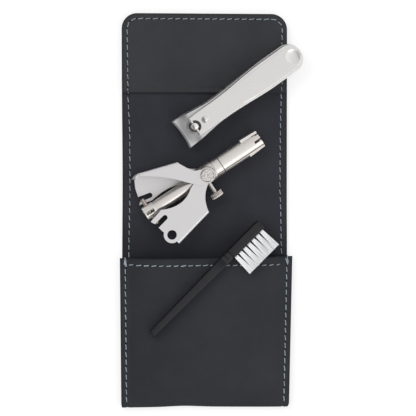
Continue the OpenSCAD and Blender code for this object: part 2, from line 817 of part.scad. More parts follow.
// Three-sided strands spread from their root, each tuft as a grid
strand_d = 0.2;
strand_inset = 0.2;
tuft_h = strip_h - 0.6;
splay = 1.3;
rise_splay = 1.1;
module strand(root, tip) {
    d = strand_d / 2;
    ring = [for (a = [90, 210, 330]) [d * cos(a), 0, d * sin(a)]];
    polyhedron(concat([for (p = ring) root + p], [for (p = ring) tip + p]),
               [[2, 1, 0], [3, 4, 5], [4, 3, 0], [1, 4, 0], [5, 4, 1], [2, 5, 1], [3, 5, 2], [0, 3, 2]]);
}

module brush_bristles() {
    root_y = head_w / 2 - strand_inset;
    tip_y = head_w / 2 + bristle_l;
    color(bristle_white) place_brush() union() {
        translate([strip_x, head_w / 2 - strip_t, (head_h - strip_h) / 2])
            cube([strip_l, strip_t, strip_h]);
        for (t = [0:tufts - 1], i = [0:bristle_rows - 1], k = [0:bristle_rows - 1]) {
            u = i / (bristle_rows - 1) - 0.5;
            w = k / (bristle_rows - 1) - 0.5;
            x = first_tuft_x + t * tuft_pitch;
            strand([x + u * tuft_w, root_y, head_h / 2 + w * tuft_h],
                   [x + u * tuft_w * splay, tip_y, head_h / 2 + w * tuft_h * rise_splay]);
        }
    }
}

case_back_panel();
case_lining();
pocket_front();
pocket_bottom_fold();
panel_seam_thread();
pocket_seam_thread();
fold_leather();
fold_lining();
fold_seam_thread();
flap_panel();
flap_lining();
flap_facing();
flap_seam_thread();
clipper_lower_arm();
clipper_upper_arm();
clipper_post();
clipper_cross_pin();
clipper_lever();
trimmer_housing();
trimmer_barrel();
trimmer_front_rivet();
trimmer_back_rivet();
trimmer_return_spring();
trimmer_wing_a();
trimmer_wing_b();
trimmer_inner_cutter();
trimmer_crank_yoke();
trimmer_crank_bar();
trimmer_thumb_screw();
brush_handle();
brush_bristles();
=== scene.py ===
"""An open leather manicure case with a nail clipper, a squeeze trimmer and a small brush.

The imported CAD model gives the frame. Lengths here are in millimetres until a mesh is
made, and MM turns them into metres. +X is right, +Y runs to the flap's end, +Z is up.
"""

import math

import bmesh
import bpy
import numpy as np
from mathutils import Matrix, Vector
from mathutils.geometry import tessellate_polygon


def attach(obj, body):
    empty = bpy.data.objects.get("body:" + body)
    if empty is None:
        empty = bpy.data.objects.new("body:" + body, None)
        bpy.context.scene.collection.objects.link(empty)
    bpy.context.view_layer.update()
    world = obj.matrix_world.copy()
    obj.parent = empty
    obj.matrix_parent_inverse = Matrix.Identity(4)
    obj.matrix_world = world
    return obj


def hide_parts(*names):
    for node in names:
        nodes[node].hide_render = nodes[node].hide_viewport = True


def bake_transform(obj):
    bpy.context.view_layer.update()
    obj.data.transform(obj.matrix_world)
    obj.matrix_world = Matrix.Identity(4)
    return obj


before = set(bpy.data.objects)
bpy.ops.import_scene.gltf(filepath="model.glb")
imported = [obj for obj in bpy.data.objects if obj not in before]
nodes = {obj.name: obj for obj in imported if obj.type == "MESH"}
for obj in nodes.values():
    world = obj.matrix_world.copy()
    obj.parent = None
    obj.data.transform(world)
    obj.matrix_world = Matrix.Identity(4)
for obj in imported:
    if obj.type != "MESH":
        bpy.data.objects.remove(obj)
scene = bpy.context.scene
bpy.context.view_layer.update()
MM = 0.001

# Camera and studio.
# The set is seen almost from straight above, the lens a little towards the upper left.
# A white table carries the case's soft shadow, under an even sky and two broad lamps.
view_centre = Vector((1.485, 0.85, 0)) * MM
view_width = 176.5 * MM
view_distance = 2.2
view_tilt = math.radians(8)
leaning = math.sin(view_tilt) * math.sqrt(0.5)
towards_camera = Vector((-leaning, leaning, math.cos(view_tilt)))
camera_right = Vector((0, 1, 0)).cross(towards_camera).normalized()
camera_up = towards_camera.cross(camera_right)


def new_object(name, data):
    thing = bpy.data.objects.new(name, data)
    scene.collection.objects.link(thing)
    return thing


camera_data = bpy.data.cameras.new("photo_camera")
camera_data.sensor_width = 36
camera_data.lens = camera_data.sensor_width * view_distance / view_width
camera = new_object("photo_camera", camera_data)
camera_axes = Matrix((camera_right, camera_up, towards_camera)).transposed()
camera.rotation_mode = "QUATERNION"
camera.rotation_quaternion = camera_axes.to_quaternion()
camera.location = view_centre + towards_camera * view_distance
scene.camera = camera
scene.view_settings.view_transform = "Standard"


class Wire:
    """One output of a node. Python's operators on wires add the Math nodes they need."""

    def __init__(self, graph, socket):
        self.graph, self.socket = graph, socket

    def math(self, operation, *others):
        values = dict(enumerate((self, *others)))
        return self.graph.add("ShaderNodeMath", {"operation": operation}, values)

    def __add__(self, other):
        return self.math("ADD", other)

    def __sub__(self, other):
        return self.math("SUBTRACT", other)

    def __rsub__(self, other):
        return self.graph.add("ShaderNodeMath", {"operation": "SUBTRACT"}, {0: other, 1: self})

    def __mul__(self, other):
        return self.math("MULTIPLY", other)

    def __pow__(self, other):
        return self.math("POWER", other)

    def __abs__(self):
        return self.math("ABSOLUTE")

    __radd__ = __add__
    __rmul__ = __mul__


class Graph:
    """A node tree under construction, for the world, the materials and Geometry Nodes."""

    def __init__(self, tree):
        self.tree = tree

    def add(self, kind, settings=None, inputs=None, out=0):
        """Adds a node, sets it, feeds its inputs and returns the wire of one output."""
        node = self.tree.nodes.new(kind)
        for key, value in (settings or {}).items():
            if key == "stops":
                for stop, (position, colour) in zip(node.color_ramp.elements, value):
                    stop.position, stop.color = position, (*colour, 1)
            else:
                setattr(node, key, value)
        for key, value in (inputs or {}).items():
            self.feed(node.inputs[key], value)
        return None if out is None else Wire(self, node.outputs[out])

    def feed(self, socket, value):
        if isinstance(value, Wire):
            self.tree.links.new(value.socket, socket)
        elif socket.type == "RGBA":
            socket.default_value = (*value, 1)
        else:
            socket.default_value = value

    def place(self):
        return self.add("ShaderNodeTexCoord", out="Object")

    def stored(self, name):
        return self.add("ShaderNodeAttribute", {"attribute_name": name}, out="Fac")

    def vector(self, operation, first, second, out=0):
        return self.add("ShaderNodeVectorMath", {"operation": operation}, {0: first, 1: second}, out)

    def axes(self, vector):
        return [self.add("ShaderNodeSeparateXYZ", None, {0: vector}, out=axis) for axis in "XYZ"]

    def span(self, value, low, high, at_low=0.0, at_high=1.0, kind="LINEAR"):
        """Takes a value from low to high over to the span at_low to at_high, and no further."""
        ends = {"From Min": low, "From Max": high, "To Min": at_low, "To Max": at_high}
        return self.add("ShaderNodeMapRange", {"interpolation_type": kind}, {"Value": value, **ends})

    def noise(self, vector, scale, detail=2.0, roughness=0.5):
        values = {"Vector": vector, "Scale": scale, "Detail": detail, "Roughness": roughness}
        return self.add("ShaderNodeTexNoise", None, values)

    def bump(self, strength, distance, height):
        values = {"Strength": strength, "Distance": distance, "Height": height}
        return self.add("ShaderNodeBump", None, values)

    def named(self, name):
        return self.add("GeometryNodeInputNamedAttribute", {"data_type": "FLOAT_VECTOR"}, {"Name": name})

    def chance(self, low, high, seed):
        values = {"Min": low, "Max": high, "Seed": seed}
        return self.add("FunctionNodeRandomValue", {"data_type": "FLOAT_VECTOR"}, values)

    def mixed(self, share, first, second):
        values = {0: share, 6: first, 7: second}
        return self.add("ShaderNodeMix", {"data_type": "RGBA"}, values, out=2)

    def paint(self, **values):
        """Sets or feeds the Principled node. Names are its sockets with _ for a space."""
        for key, value in values.items():
            self.feed(self.tree.nodes["Principled BSDF"].inputs[key.replace("_", " ")], value)


world = bpy.data.worlds.new("studio")
scene.world = world
world.use_nodes = True
sky = Graph(world.node_tree)
east, north, up = sky.axes(sky.add("ShaderNodeTexCoord", out="Generated"))
by_camera = sky.add("ShaderNodeLightPath", out="Is Camera Ray")
by_gloss = sky.add("ShaderNodeLightPath", out="Is Glossy Ray")
towards_dark_end = -0.9 * east - 0.42 * north
shade = sky.span(towards_dark_end, 0.08, 0.42, 1.0, 0.36, "SMOOTHSTEP")
for_steel = (0.92 + 0.02 * abs(up) + 0.05 * east - 0.03 * north + 0.3 * east * abs(east)) * shade
for_leather = 0.18 + 0.78 * abs(up)
glow = by_gloss * for_steel + (1 - by_gloss) * for_leather
background = world.node_tree.nodes["Background"]
sky.feed(background.inputs["Color"], (1.0, 1.0, 1.0))
sky.feed(background.inputs["Strength"], by_camera + (1 - by_camera) * glow)


def broad_lamp(name, place, size, energy, mirrored):
    """A soft lamp aimed at the case. Steel mirrors it only where mirrored is set."""
    light = bpy.data.lights.new(name, "AREA")
    light.shape = "RECTANGLE"
    light.size, light.size_y = size
    light.energy = energy
    lamp = new_object(name, light)
    lamp.location = place
    lamp.visible_glossy = mirrored
    lamp.rotation_mode = "QUATERNION"
    lamp.rotation_quaternion = Vector(place).to_track_quat("Z", "Y")


broad_lamp("key_lamp", (-0.55, 0.6, 0.95), (0.7, 0.5), 4.2, False)
broad_lamp("edge_lamp", (0.62, -0.9, 1.15), (0.9, 0.5), 1.6, True)


def mesh_object(name, points, faces, smooth=True, joined=0.0):
    """Makes an object from points in millimetres and turns its faces outwards. Points
    nearer to each other than joined become one."""
    mesh = bpy.data.meshes.new(name)
    mesh.from_pydata([tuple(c * MM for c in p) for p in points], [], faces)
    made = bmesh.new()
    made.from_mesh(mesh)
    if joined:
        bmesh.ops.remove_doubles(made, verts=made.verts, dist=joined * MM)
    bmesh.ops.recalc_face_normals(made, faces=made.faces)
    made.to_mesh(mesh)
    made.free()
    mesh.polygons.foreach_set("use_smooth", [smooth] * len(mesh.polygons))
    return new_object(name, mesh)


def new_material(name, **constants):
    """A Principled material with constants on its sockets, and its node tree's graph."""
    material = bpy.data.materials.new(name)
    material.use_nodes = True
    graph = Graph(material.node_tree)
    graph.paint(**constants)
    return material, graph


table_half, table_z = 3000, -0.2
table_corners = ((-1, -1), (1, -1), (1, 1), (-1, 1))
table = mesh_object(
    "table", [(x * table_half, y * table_half, table_z) for x, y in table_corners], [(0, 1, 2, 3)]
)
table_white = bpy.data.materials.new("table_white")
table_white.use_nodes = True
table_white.node_tree.nodes.remove(table_white.node_tree.nodes["Principled BSDF"])
paint = Graph(table_white.node_tree)
by_camera = paint.add("ShaderNodeLightPath", out="Is Camera Ray")
by_gloss = paint.add("ShaderNodeLightPath", out="Is Glossy Ray")
matt = paint.add("ShaderNodeBsdfDiffuse", None, {"Color": (0.36, 0.36, 0.36)})
glow = paint.add("ShaderNodeEmission", None, {"Color": (1, 1, 1), "Strength": 0.7})
lit = paint.add("ShaderNodeAddShader", None, {0: matt, 1: glow})
shown = paint.add("ShaderNodeMixShader", None, {0: by_camera + by_gloss, 1: matt, 2: lit})
paint.feed(table_white.node_tree.nodes["Material Output"].inputs["Surface"], shown)
table.data.materials.append(table_white)

# Outer leather of the case.
# One piece of black nubuck, about 1.2 mm thick, with dyed cut edges. It runs from the
# flap's rounded end down the back, turns half round at the bottom and comes up again as
# the pocket front, wider than the back at its mouth and crowned over the room inside.
leather_t, lining_t, facing_t = 1.2, 1.0, 1.1
panel_top = leather_t + lining_t
facing_top = panel_top + facing_t
case_half = 35.0
flap_end_y, mouth_y, foot_y = 83.4, -20.7, -83.4
fold_y, fold_half = 29.7, 5.0
facing_y = 49.6
corner_r = 6.6
corner_x, corner_y = case_half - corner_r, flap_end_y - corner_r
turn_r = (2 * leather_t + lining_t) / 2
front_y0 = foot_y + turn_r
foot_left, foot_right, mouth_out_left, mouth_out_right = 35.6, 36.1, 0.5, 1.3
crown, crown_half, crown_power, crown_start = 4.5, 32.0, 6, 0.16
cut_round, dyed_w = 0.42, 0.35
seam_depth, seam_width, panel_seam_at, lining_seam_at, facing_seam_at = 0.16, 0.5, 2.4, 2.6, 2.2
askew = -0.2
edge_steps = [0, 0.06, 0.15, 0.28, 0.45, 0.7, 1.0, 1.3, 1.6, 1.85, 2.1, 2.35, 2.6, 2.85, 3.1, 3.4, 3.9]
edge_steps += [4.6, 5.4]
ends = [0, 0.06, 0.15, 0.28, 0.45, 0.7, 1.0, 1.35, 1.7, 2.1, 2.5, 2.9, 3.3, 3.8, 4.4, 5.1, 5.9]


def eased(share):
    share = min(1.0, max(0.0, share))
    return share * share * (3 - 2 * share)


def bell(away, width):
    return math.exp(-((away / width) ** 2))


def rounded(d, radius):
    """How far a rounded edge has fallen at the distance d from the outline."""
    return 0.0 if d >= radius else radius - math.sqrt(radius**2 - (radius - d) ** 2)


def flap_half(y):
    """Half the width of the flap at y, with its rounded corners."""
    return corner_x + math.sqrt(max(0.0, corner_r**2 - max(0.0, y - corner_y) ** 2))


def left_bow(y):
    """How far the left edge lies inside a straight line; hand-cut leather is not exact."""
    return 0.28 * bell(y - 15, 30)


def right_bow(y):
    """How far the right edge lies outside a straight line."""
    return 0.12 + 0.12 * bell(y + 18, 15)


def front_edges(y):
    """Left and right edge of the pocket front at y."""
    share = (y - front_y0) / (mouth_y - front_y0)
    return -foot_left - mouth_out_left * share, foot_right + mouth_out_right * share


def front_rise(x, y):
    """Height of the pocket front's crown over its sewn margins."""
    along = min(1.0, max(0.0, (y - front_y0) / (mouth_y - front_y0)) / crown_start)
    aside = max(0.0, 1 - (abs(x) / crown_half) ** crown_power)
    return crown * aside * (1 - (1 - along) ** 2)


def hand_cut(x, y, z):
    """How far the leather's ends, its mouth and the facing stray from true lines."""
    stray = eased((y - 60) / 20) * (0.1 - 0.0127 * x)
    stray += eased((-50 - y) / 30) * (0.4 * bell(x + 9, 8) - 0.45 - 0.5 * eased((x + 10) / 45))
    if z <= panel_top + 0.5:
        return stray
    if y < 0:
        return stray + eased((y + 55) / 30) * (0.85 + 0.15 * eased(x / 30))
    return stray + (1 - eased((y - 52) / 12)) * (0.25 - 0.012 * x)


def across(left, right, middle=46, steps=edge_steps):
    """Places of points across a row, close together near both edges."""
    inner = np.linspace(left + steps[-1], right - steps[-1], middle)[1:-1]
    return [left + d for d in steps] + list(inner) + [right - d for d in reversed(steps)]


def closed_sheet(name, face, back, wide):
    """A closed solid from two grids of points, one for each face, with rows of a width."""
    count = len(face)
    tall = count // wide
    faces = []
    for j in range(tall - 1):
        for i in range(wide - 1):
            a, b = j * wide + i, (j + 1) * wide + i
            faces += [(a, a + 1, b + 1, b), (count + b, count + b + 1, count + a + 1, count + a)]
        for a in (j * wide, (j + 1) * wide - 1):
            faces.append((a, a + wide, count + a + wide, count + a))
    for i in range(wide - 1):
        for a in (i, (tall - 1) * wide + i):
            faces.append((a, a + 1, count + a + 1, count + a))
    return mesh_object(name, face + back, faces)


def leather_sheet(name, rows, thickness, material, seam_at):
    """A closed sheet. A row is (y, z, inward y, inward z, left, right, distance to the
    sheet's nearest end, rise of the sheet at x), and its z is that of the face that shows."""
    face, back, edges = [], [], []
    for y, z, into_y, into_z, left, right, end, lifted in rows:
        for x in across(left, right):
            d = min(x - left, right - x, end)
            if y > corner_y and abs(x) > corner_x:
                d = max(0.0, corner_r - math.hypot(abs(x) - corner_x, y - corner_y))
            dip = seam_depth * bell(d - seam_at, seam_width)
            fall = rounded(d, cut_round)
            z0 = z + (lifted(x, y) if lifted else 0.0)
            y0 = y + hand_cut(x, y, z)
            face.append((x + askew, y0 + into_y * (fall + dip), z0 + into_z * (fall + dip)))
            far = thickness - fall
            back.append((x + askew, y0 + into_y * far, z0 + into_z * far))
            edges.append(math.exp(-d / dyed_w))
    sheet = closed_sheet(name, face, back, len(face) // len(rows))
    cut = sheet.data.attributes.new("cut_edge", "FLOAT", "POINT")
    cut.data.foreach_set("value", edges * 2)
    sheet.data.materials.append(material)
    return sheet


def nubuck(name, deep, pale, mouth_shade=0.0):
    """Brushed leather: cloudy tone, short nap and fine pores, with black dyed edges.
    Given a share, it darkens from y = 2 mm down to the pocket's mouth and inside the pocket: painted shade
    from the pocket's crowned front."""
    material, graph = new_material(name, Specular_IOR_Level=0.22, Sheen_Weight=0.08, Sheen_Roughness=0.5)
    place = graph.place()
    clouds, nap = graph.noise(place, 38, 5, 0.62), graph.noise(place, 700, 4, 0.7)
    pores = graph.add("ShaderNodeTexVoronoi", None, {"Vector": place, "Scale": 2300}, out="Distance")
    tone = 0.72 * clouds + 0.28 * nap
    colour = graph.add("ShaderNodeValToRGB", {"stops": [(0.3, deep), (0.7, pale)]}, {0: tone})
    if mouth_shade:
        # Painted shade, growing towards the pocket's mouth.
        low = graph.span(graph.axes(place)[1], 2 * MM, -21 * MM, 0.0, mouth_shade, "SMOOTHSTEP")
        colour = graph.mixed(low, colour, (0, 0, 0))
    edge = graph.stored("cut_edge")
    graph.paint(
        Base_Color=graph.mixed(0.85 * edge, colour, (0.006, 0.006, 0.008)), Roughness=0.6 + 0.25 * nap,
        Normal=graph.bump(0.5, 0.00012, 0.6 * nap + 0.4 * pores),
    )
    return material


back_nubuck = nubuck("back_nubuck", (0.022, 0.0235, 0.029), (0.035, 0.036, 0.043))


def rows_between(first, last, step):
    """Places from one value to another, without the first."""
    return list(np.linspace(first, last, max(2, round(abs(last - first) / step) + 1)))[1:]


def flat_rows(z, up):
    """Rows of a sheet from the flap's end to the pocket's bottom, its good face at z."""
    return [
        (y, z, 0, up, left_bow(y) - flap_half(y), flap_half(y) + right_bow(y), flap_end_y - y, None)
        for y in back_ys
    ]


row_step, fold_row_step, front_row_step, turn_rows, far_from_end = 0.8, 0.25, 0.7, 15, 50
back_ys = [flap_end_y - d for d in ends]
back_ys += rows_between(back_ys[-1], fold_y + fold_half, row_step)
back_ys += rows_between(back_ys[-1], fold_y - fold_half, fold_row_step)
back_ys += rows_between(back_ys[-1], front_y0, row_step)
rows = flat_rows(0.0, 1)
for share in np.linspace(0, 1, turn_rows)[1:-1]:
    sine, cosine = math.sin(math.pi * share), math.cos(math.pi * share)
    rows.append((
        front_y0 - turn_r * sine, turn_r * (1 - cosine), sine, cosine,
        -case_half - (foot_left - case_half) * share, case_half + (foot_right - case_half) * share,
        far_from_end, None,
    ))
front_ys = [front_y0] + rows_between(front_y0, mouth_y - ends[-1], front_row_step)
for y in front_ys + [mouth_y - d for d in reversed(ends[:-1])]:
    rows.append((y, 2 * turn_r, 0, -1, *front_edges(y), mouth_y - y, front_rise))
leather = leather_sheet("outer_leather", rows, leather_t, back_nubuck, panel_seam_at)
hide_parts("case_back_panel", "fold_leather", "flap_panel", "pocket_bottom_fold", "pocket_front")
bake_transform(leather)

# Lining of the case.
# A second sheet of the same black nubuck, 1 mm thick, glued inside from the pocket's
# bottom to the flap's end and sewn through along both sides.
# The lining gets a 0.42 share of painted shade towards the pocket's mouth.
lining_nubuck = nubuck("lining_nubuck", (0.021, 0.022, 0.029), (0.036, 0.037, 0.046), 0.42)
rows = flat_rows(panel_top, -1)
lining = leather_sheet("lining", rows, lining_t, lining_nubuck, lining_seam_at)
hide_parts("case_lining", "fold_lining", "flap_lining")
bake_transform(lining)

# Facing of the flap.
# A band of greyer leather laid over the flap's end and sewn down with its edges. Its free
# lower edge is burnished and stands up as a low lip.
facing_nubuck = nubuck("facing_nubuck", (0.029, 0.030, 0.034), (0.044, 0.045, 0.050))
facing_in, lip_h, lip_in, lip_w = 0.02, 0.34, 0.75, 0.5
facing_ys = [flap_end_y - d for d in ends]
facing_ys += rows_between(facing_ys[-1], facing_y + ends[-1], row_step)
facing_ys += [facing_y + d for d in reversed(ends[:-1])]


def facing_lip(x, y):
    return lip_h * bell(y - facing_y - lip_in, lip_w)


rows = [
    (y, facing_top, 0, -1, facing_in - flap_half(y), flap_half(y) - facing_in,
     min(flap_end_y - y, y - facing_y), facing_lip)
    for y in facing_ys
]
facing = leather_sheet("facing", rows, facing_t, facing_nubuck, facing_seam_at)
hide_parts("flap_facing")
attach(facing, "flap")

# Seam threads.
# Pale blue-grey waxed thread, about 0.4 mm thick, sewn by machine 2 to 3 mm inside the
# edges of flap, sides and pocket, and along the pocket's hem. Each pocket seam is sewn
# twice at the mouth's corner. Between the stitches lie needle holes, dark with painted shade.
stitch_pitch, stitch_l, panel_thread_w, pocket_thread_w = 3.14, 2.1, 0.34, 0.44
left_seam = [(-24, -32.3), (-13, -32.2), (8, -31.7), (34, -31.8), (50, -32.6), (60, -32.7)]
right_seam = [(-24, 33.0), (-13, 32.7), (3, 32.4), (8, 32.1), (34, 32.3), (55, 32.8), (60, 32.8)]
flap_seam_inset, hem_inset, side_inset_left, side_inset_right = 2.1, 2.9, 2.2, 2.3
thread_sunk, slope_reach, needle_w = 0.02, 0.3, 0.75


def seam_x(table, y):
    ys, xs = zip(*table)
    return float(np.interp(y, ys, xs))


def sheet_top(x, y):
    """Height of the leather under a stitch of the flap or the panel."""
    return facing_top if y > facing_y - 0.3 else panel_top


def pocket_top(x, y):
    return panel_top + leather_t + front_rise(x, y)


def walked(points, pitch):
    """Points a pitch apart along a line of points, with the line's direction at each."""
    line = np.array(points, float)
    lengths = np.concatenate([[0], np.cumsum(np.linalg.norm(np.diff(line, axis=0), axis=1))])
    stops = np.arange(pitch / 2, lengths[-1], pitch)
    places, ahead, behind = (
        np.stack([np.interp(stops + shift, lengths, column) for column in line.T], 1)
        for shift in (0, 0.4, -0.4)
    )
    along = ahead - behind
    return places, along / np.linalg.norm(along, axis=1, keepdims=True)


thread, graph = new_material("seam_thread", Roughness=0.55, Sheen_Weight=0.2)
plies, wax = (graph.stored("ply") * 2 * math.pi).math("SINE"), graph.noise(graph.place(), 260)
graph.paint(
    Base_Color=graph.mixed(wax, (0.22, 0.27, 0.31), (0.46, 0.53, 0.59)),
    Normal=graph.bump(0.6, 0.00008, plies),
)
# The needle holes' near-black is painted shade in the holes, with a random speckle.
needle_hole_shade, graph = new_material("needle_hole", Roughness=0.9)
hole_speckle = graph.noise(graph.place(), 3000)
graph.paint(Base_Color=graph.mixed(hole_speckle, (0.002, 0.002, 0.003), (0.008, 0.008, 0.010)))


def growing_tree(name, start, result, *sizes):
    """Starts a Geometry Nodes tree: its graph, and a wire for its points and each size."""
    tree = bpy.data.node_groups.new(name, "GeometryNodeTree")
    tree.interface.new_socket(start, in_out="INPUT", socket_type="NodeSocketGeometry")
    for label in sizes:
        tree.interface.new_socket(label, in_out="INPUT", socket_type="NodeSocketFloat")
    tree.interface.new_socket(result, in_out="OUTPUT", socket_type="NodeSocketGeometry")
    graph = Graph(tree)
    return graph, *(graph.add("NodeGroupInput", out=label) for label in (start, *sizes))


def strand_along(graph, line, sides, width):
    ring = graph.add("GeometryNodeCurvePrimitiveCircle", None, {"Resolution": sides, "Radius": 0.5 * width})
    parts = {"Curve": line, "Profile Curve": ring, "Fill Caps": True}
    return graph.add("GeometryNodeCurveToMesh", None, parts)


def stitch_tree():
    """Lays a stitch at every point, along its "along", and a needle hole behind it."""
    graph, points, length, width, pitch, hole = growing_tree(
        "stitches", "Points", "Seam", "Stitch Length", "Thread Width", "Pitch", "Hole Width"
    )
    along = graph.named("along")
    turned = graph.add("FunctionNodeAlignRotationToVector", {"axis": "X"}, {"Vector": along})
    turned = graph.add(
        "FunctionNodeAlignRotationToVector", {"axis": "Z", "pivot_axis": "X"},
        {"Rotation": turned, "Vector": graph.named("upward")},
    )
    lean = graph.chance((-0.03, -0.05, 0.03), (0.03, 0.05, 0.17), 4)
    turned = graph.add("FunctionNodeRotateRotation", {"rotation_space": "LOCAL"}, {0: turned, 1: lean})
    grow = graph.chance((0.9, 0.85, 0.9), (1.06, 1.1, 1.1), 9)
    start, end, middle = (
        graph.add("ShaderNodeCombineXYZ", None, {"X": x * length, "Z": z * width})
        for x, z in ((-0.5, -0.45), (0.5, -0.45), (0, 1.05))
    )
    arc = graph.add(
        "GeometryNodeCurveQuadraticBezier", None,
        {"Resolution": 8, "Start": start, "Middle": middle, "End": end},
    )
    ply = graph.add("GeometryNodeSplineParameter", out="Length") * 1500
    arc = graph.add(
        "GeometryNodeStoreNamedAttribute", {"data_type": "FLOAT", "domain": "POINT"},
        {"Geometry": arc, "Name": "ply", "Value": ply},
    )
    strand = strand_along(graph, arc, 7, width)
    strand = graph.add("GeometryNodeSetMaterial", None, {"Geometry": strand, "Material": thread})
    sewn = graph.add(
        "GeometryNodeInstanceOnPoints", None,
        {"Points": points, "Instance": strand, "Rotation": turned, "Scale": grow},
    )
    back = graph.add("ShaderNodeVectorMath", {"operation": "SCALE"}, {0: along, "Scale": -0.5 * pitch})
    between = graph.add("GeometryNodeSetPosition", None, {"Geometry": points, "Offset": back})
    dent = graph.add("GeometryNodeMeshUVSphere", None, {"Segments": 9, "Rings": 5, "Radius": 0.5 * hole})
    dent = graph.add("GeometryNodeTransform", None, {"Geometry": dent, "Scale": (1.0, 0.75, 0.16)})
    dent = graph.add("GeometryNodeSetMaterial", None, {"Geometry": dent, "Material": needle_hole_shade})
    pierced = graph.add(
        "GeometryNodeInstanceOnPoints", None, {"Points": between, "Instance": dent, "Rotation": turned}
    )
    both = graph.add("GeometryNodeJoinGeometry", None, {0: sewn})
    graph.feed(both.socket.node.inputs[0], pierced)
    solid = graph.add("GeometryNodeRealizeInstances", None, {0: both})
    smooth = graph.add("GeometryNodeSetShadeSmooth", None, {0: solid})
    graph.add("NodeGroupOutput", None, {0: smooth}, out=None)
    return graph.tree


def point_object(name, places, **vectors):
    """An object of loose points in millimetres, each with the named vectors."""
    thing = mesh_object(name, places, [])
    for key, values in vectors.items():
        layer = thing.data.attributes.new(key, "FLOAT_VECTOR", "POINT")
        layer.data.foreach_set("vector", np.asarray(values, np.float32).ravel())
    return thing


def grown(thing, tree, sizes):
    """Runs a Geometry Nodes tree on an object and keeps its result as a plain mesh."""
    modifier = thing.modifiers.new(tree.name, "NODES")
    modifier.node_group = tree
    for socket in tree.interface.items_tree:
        if socket.name in sizes:
            modifier[socket.identifier] = sizes[socket.name]
    shown = thing.evaluated_get(bpy.context.evaluated_depsgraph_get())
    mesh = bpy.data.meshes.new_from_object(shown)
    thing.modifiers.remove(modifier)
    thing.data = mesh
    return thing


stitches = stitch_tree()


def seam(name, places, along, top, width):
    """One sewn seam on a sheet whose height is top(x, y)."""
    at, ahead, upward = [], [], []
    for (x, y), (u, v) in zip(places, along):
        at.append((x + askew, y + hand_cut(x, y, top(x, y)), top(x, y) - thread_sunk))
        step_x, step_y = slope_reach * u, slope_reach * v
        slope = (top(x + step_x, y + step_y) - top(x - step_x, y - step_y)) / (2 * slope_reach)
        run = Vector((u, v, slope)).normalized()
        raised = run.cross(Vector((v, -u, 0)).normalized())
        ahead.append(run)
        upward.append(raised if raised.z > 0 else -raised)
    sizes = {
        "Stitch Length": stitch_l * MM, "Thread Width": width * MM, "Pitch": stitch_pitch * MM,
        "Hole Width": needle_w * MM,
    }
    thing = grown(point_object(name, at, along=ahead, upward=upward), stitches, sizes)
    return thing


arc_r = corner_r - flap_seam_inset
straight_from, straight_to = mouth_y + 0.6, facing_y + 9
bend = [math.radians(a) for a in range(0, 91, 9)]
around = [(seam_x(left_seam, y), y) for y in np.arange(straight_from, straight_to, 2.0)]
around += [(-corner_x - arc_r * math.cos(a), corner_y + arc_r * math.sin(a)) for a in bend]
around += [(corner_x + arc_r * math.sin(a), corner_y + arc_r * math.cos(a)) for a in bend]
around += [(seam_x(right_seam, y), y) for y in np.arange(straight_to, straight_from, -2.0)]
places, along = walked(around, stitch_pitch)
low, high = places[:, 1] < fold_y - fold_half, places[:, 1] > fold_y + fold_half
panel_seam, fold_seam, flap_seam = (
    seam(name, places[part], along[part], sheet_top, panel_thread_w)
    for name, part in (("panel_seam", low), ("fold_seam", ~(low | high)), ("flap_seam", high))
)
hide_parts("panel_seam_thread")
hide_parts("fold_seam_thread")
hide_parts("flap_seam_thread")
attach(panel_seam, "case")
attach(flap_seam, "flap")
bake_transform(fold_seam)

down_ys = np.arange(mouth_y - 0.9, front_y0 - 0.4, -1.5)
down_left = [(front_edges(y)[0] + side_inset_left, y) for y in down_ys]
down_right = [(front_edges(y)[1] - side_inset_right, y) for y in down_ys]
first_x, last_x = down_left[0][0], down_right[0][0]
hem = [
    (x, mouth_y - hem_inset + 0.2 * math.sin(x / 9) - 0.5 * eased((x + 5) / 25))
    for x in np.linspace(first_x + 0.8, last_x - 0.8, 60)
]
pocket_places, pocket_along = [], []
for line in (down_left, down_right, hem):
    found, ways = walked(line, stitch_pitch)
    pocket_places += list(found)
    pocket_along += list(ways)
for x, side in ((first_x, -1), (last_x, 1)):
    for shift, drop, lean in ((0.15, 0.7, 0.2), (-0.3, 1.7, -0.25), (0.35, 2.5, 0.15)):
        pocket_places.append((x + shift, mouth_y - drop))
        pocket_along.append((math.sin(lean) * side, math.cos(lean)))
pocket_seam = seam("pocket_seam", pocket_places, pocket_along, pocket_top, pocket_thread_w)
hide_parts("pocket_seam_thread")
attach(pocket_seam, "case")

# Nail clipper.
# Two stainless spring arms welded near their rear ends, with ground jaws. A turned post
# with a ball head passes both, and a cross pin in it carries the polished lever, which is
# pressed with a fulcrum dome, a dished thumb rest and a stepped border at its rear.
clipper_at, clipper_turn = (-10.8, 32.7, 3.75), math.radians(34.8)
clipper_l, post_s, jaw_hollow = 61.8, 6.8, 0.6
jaw_half, arm_waist, arm_rear, arm_end_r, waist_s, broad_s = 6.7, 5.05, 6.3, 6.3, 19, 48
arm_top_line = [(0, 4.75), (0.55, 5.22), (1.15, 5.28), (6.2, 6.2), (9, 6.2), (50, 3.0), (62, 3.0)]
arm_under_line = [(0, 4.55), (3, 4.65), (9, 4.7), (50, 1.5), (62, 1.5)]
pin_z, lever_slope, lever_t = 7.6, math.radians(3.2), 1.8
lever_l, fork_half, lever_waist, lever_rear = clipper_l - post_s, 4.3, 4.45, 5.9
bore_r, ring_r, ring_h, jaw_bow = 2.6, 3.05, 0.25, 0.5
dome_x, dome_r, dome_ball, dome_h = 5.3, 1.5, 1.75, 0.95
dish_x, dish_r, dish_ball, dish_deep = 51.0, 3.2, 8.83, 0.6
border_w, border_deep, lever_bow, lever_end_r, slot_r = 1.02, 0.14, 0.45, 5.605, 2.65
lengthwise, last_in = 0.26, 0.01
metal_steps = [0, 0.03, 0.08, 0.15, 0.24, 0.36, 0.55, 0.8, 1.0, 1.1, 1.2, 1.35, 1.7, 2.2]


def in_frame(at, turn, ahead, left, up):
    """A point given in a tool's own frame, which lies at a place and is turned about z."""
    c, n = math.cos(turn), math.sin(turn)
    return (at[0] + ahead * c - left * n, at[1] + ahead * n + left * c, at[2] + up)


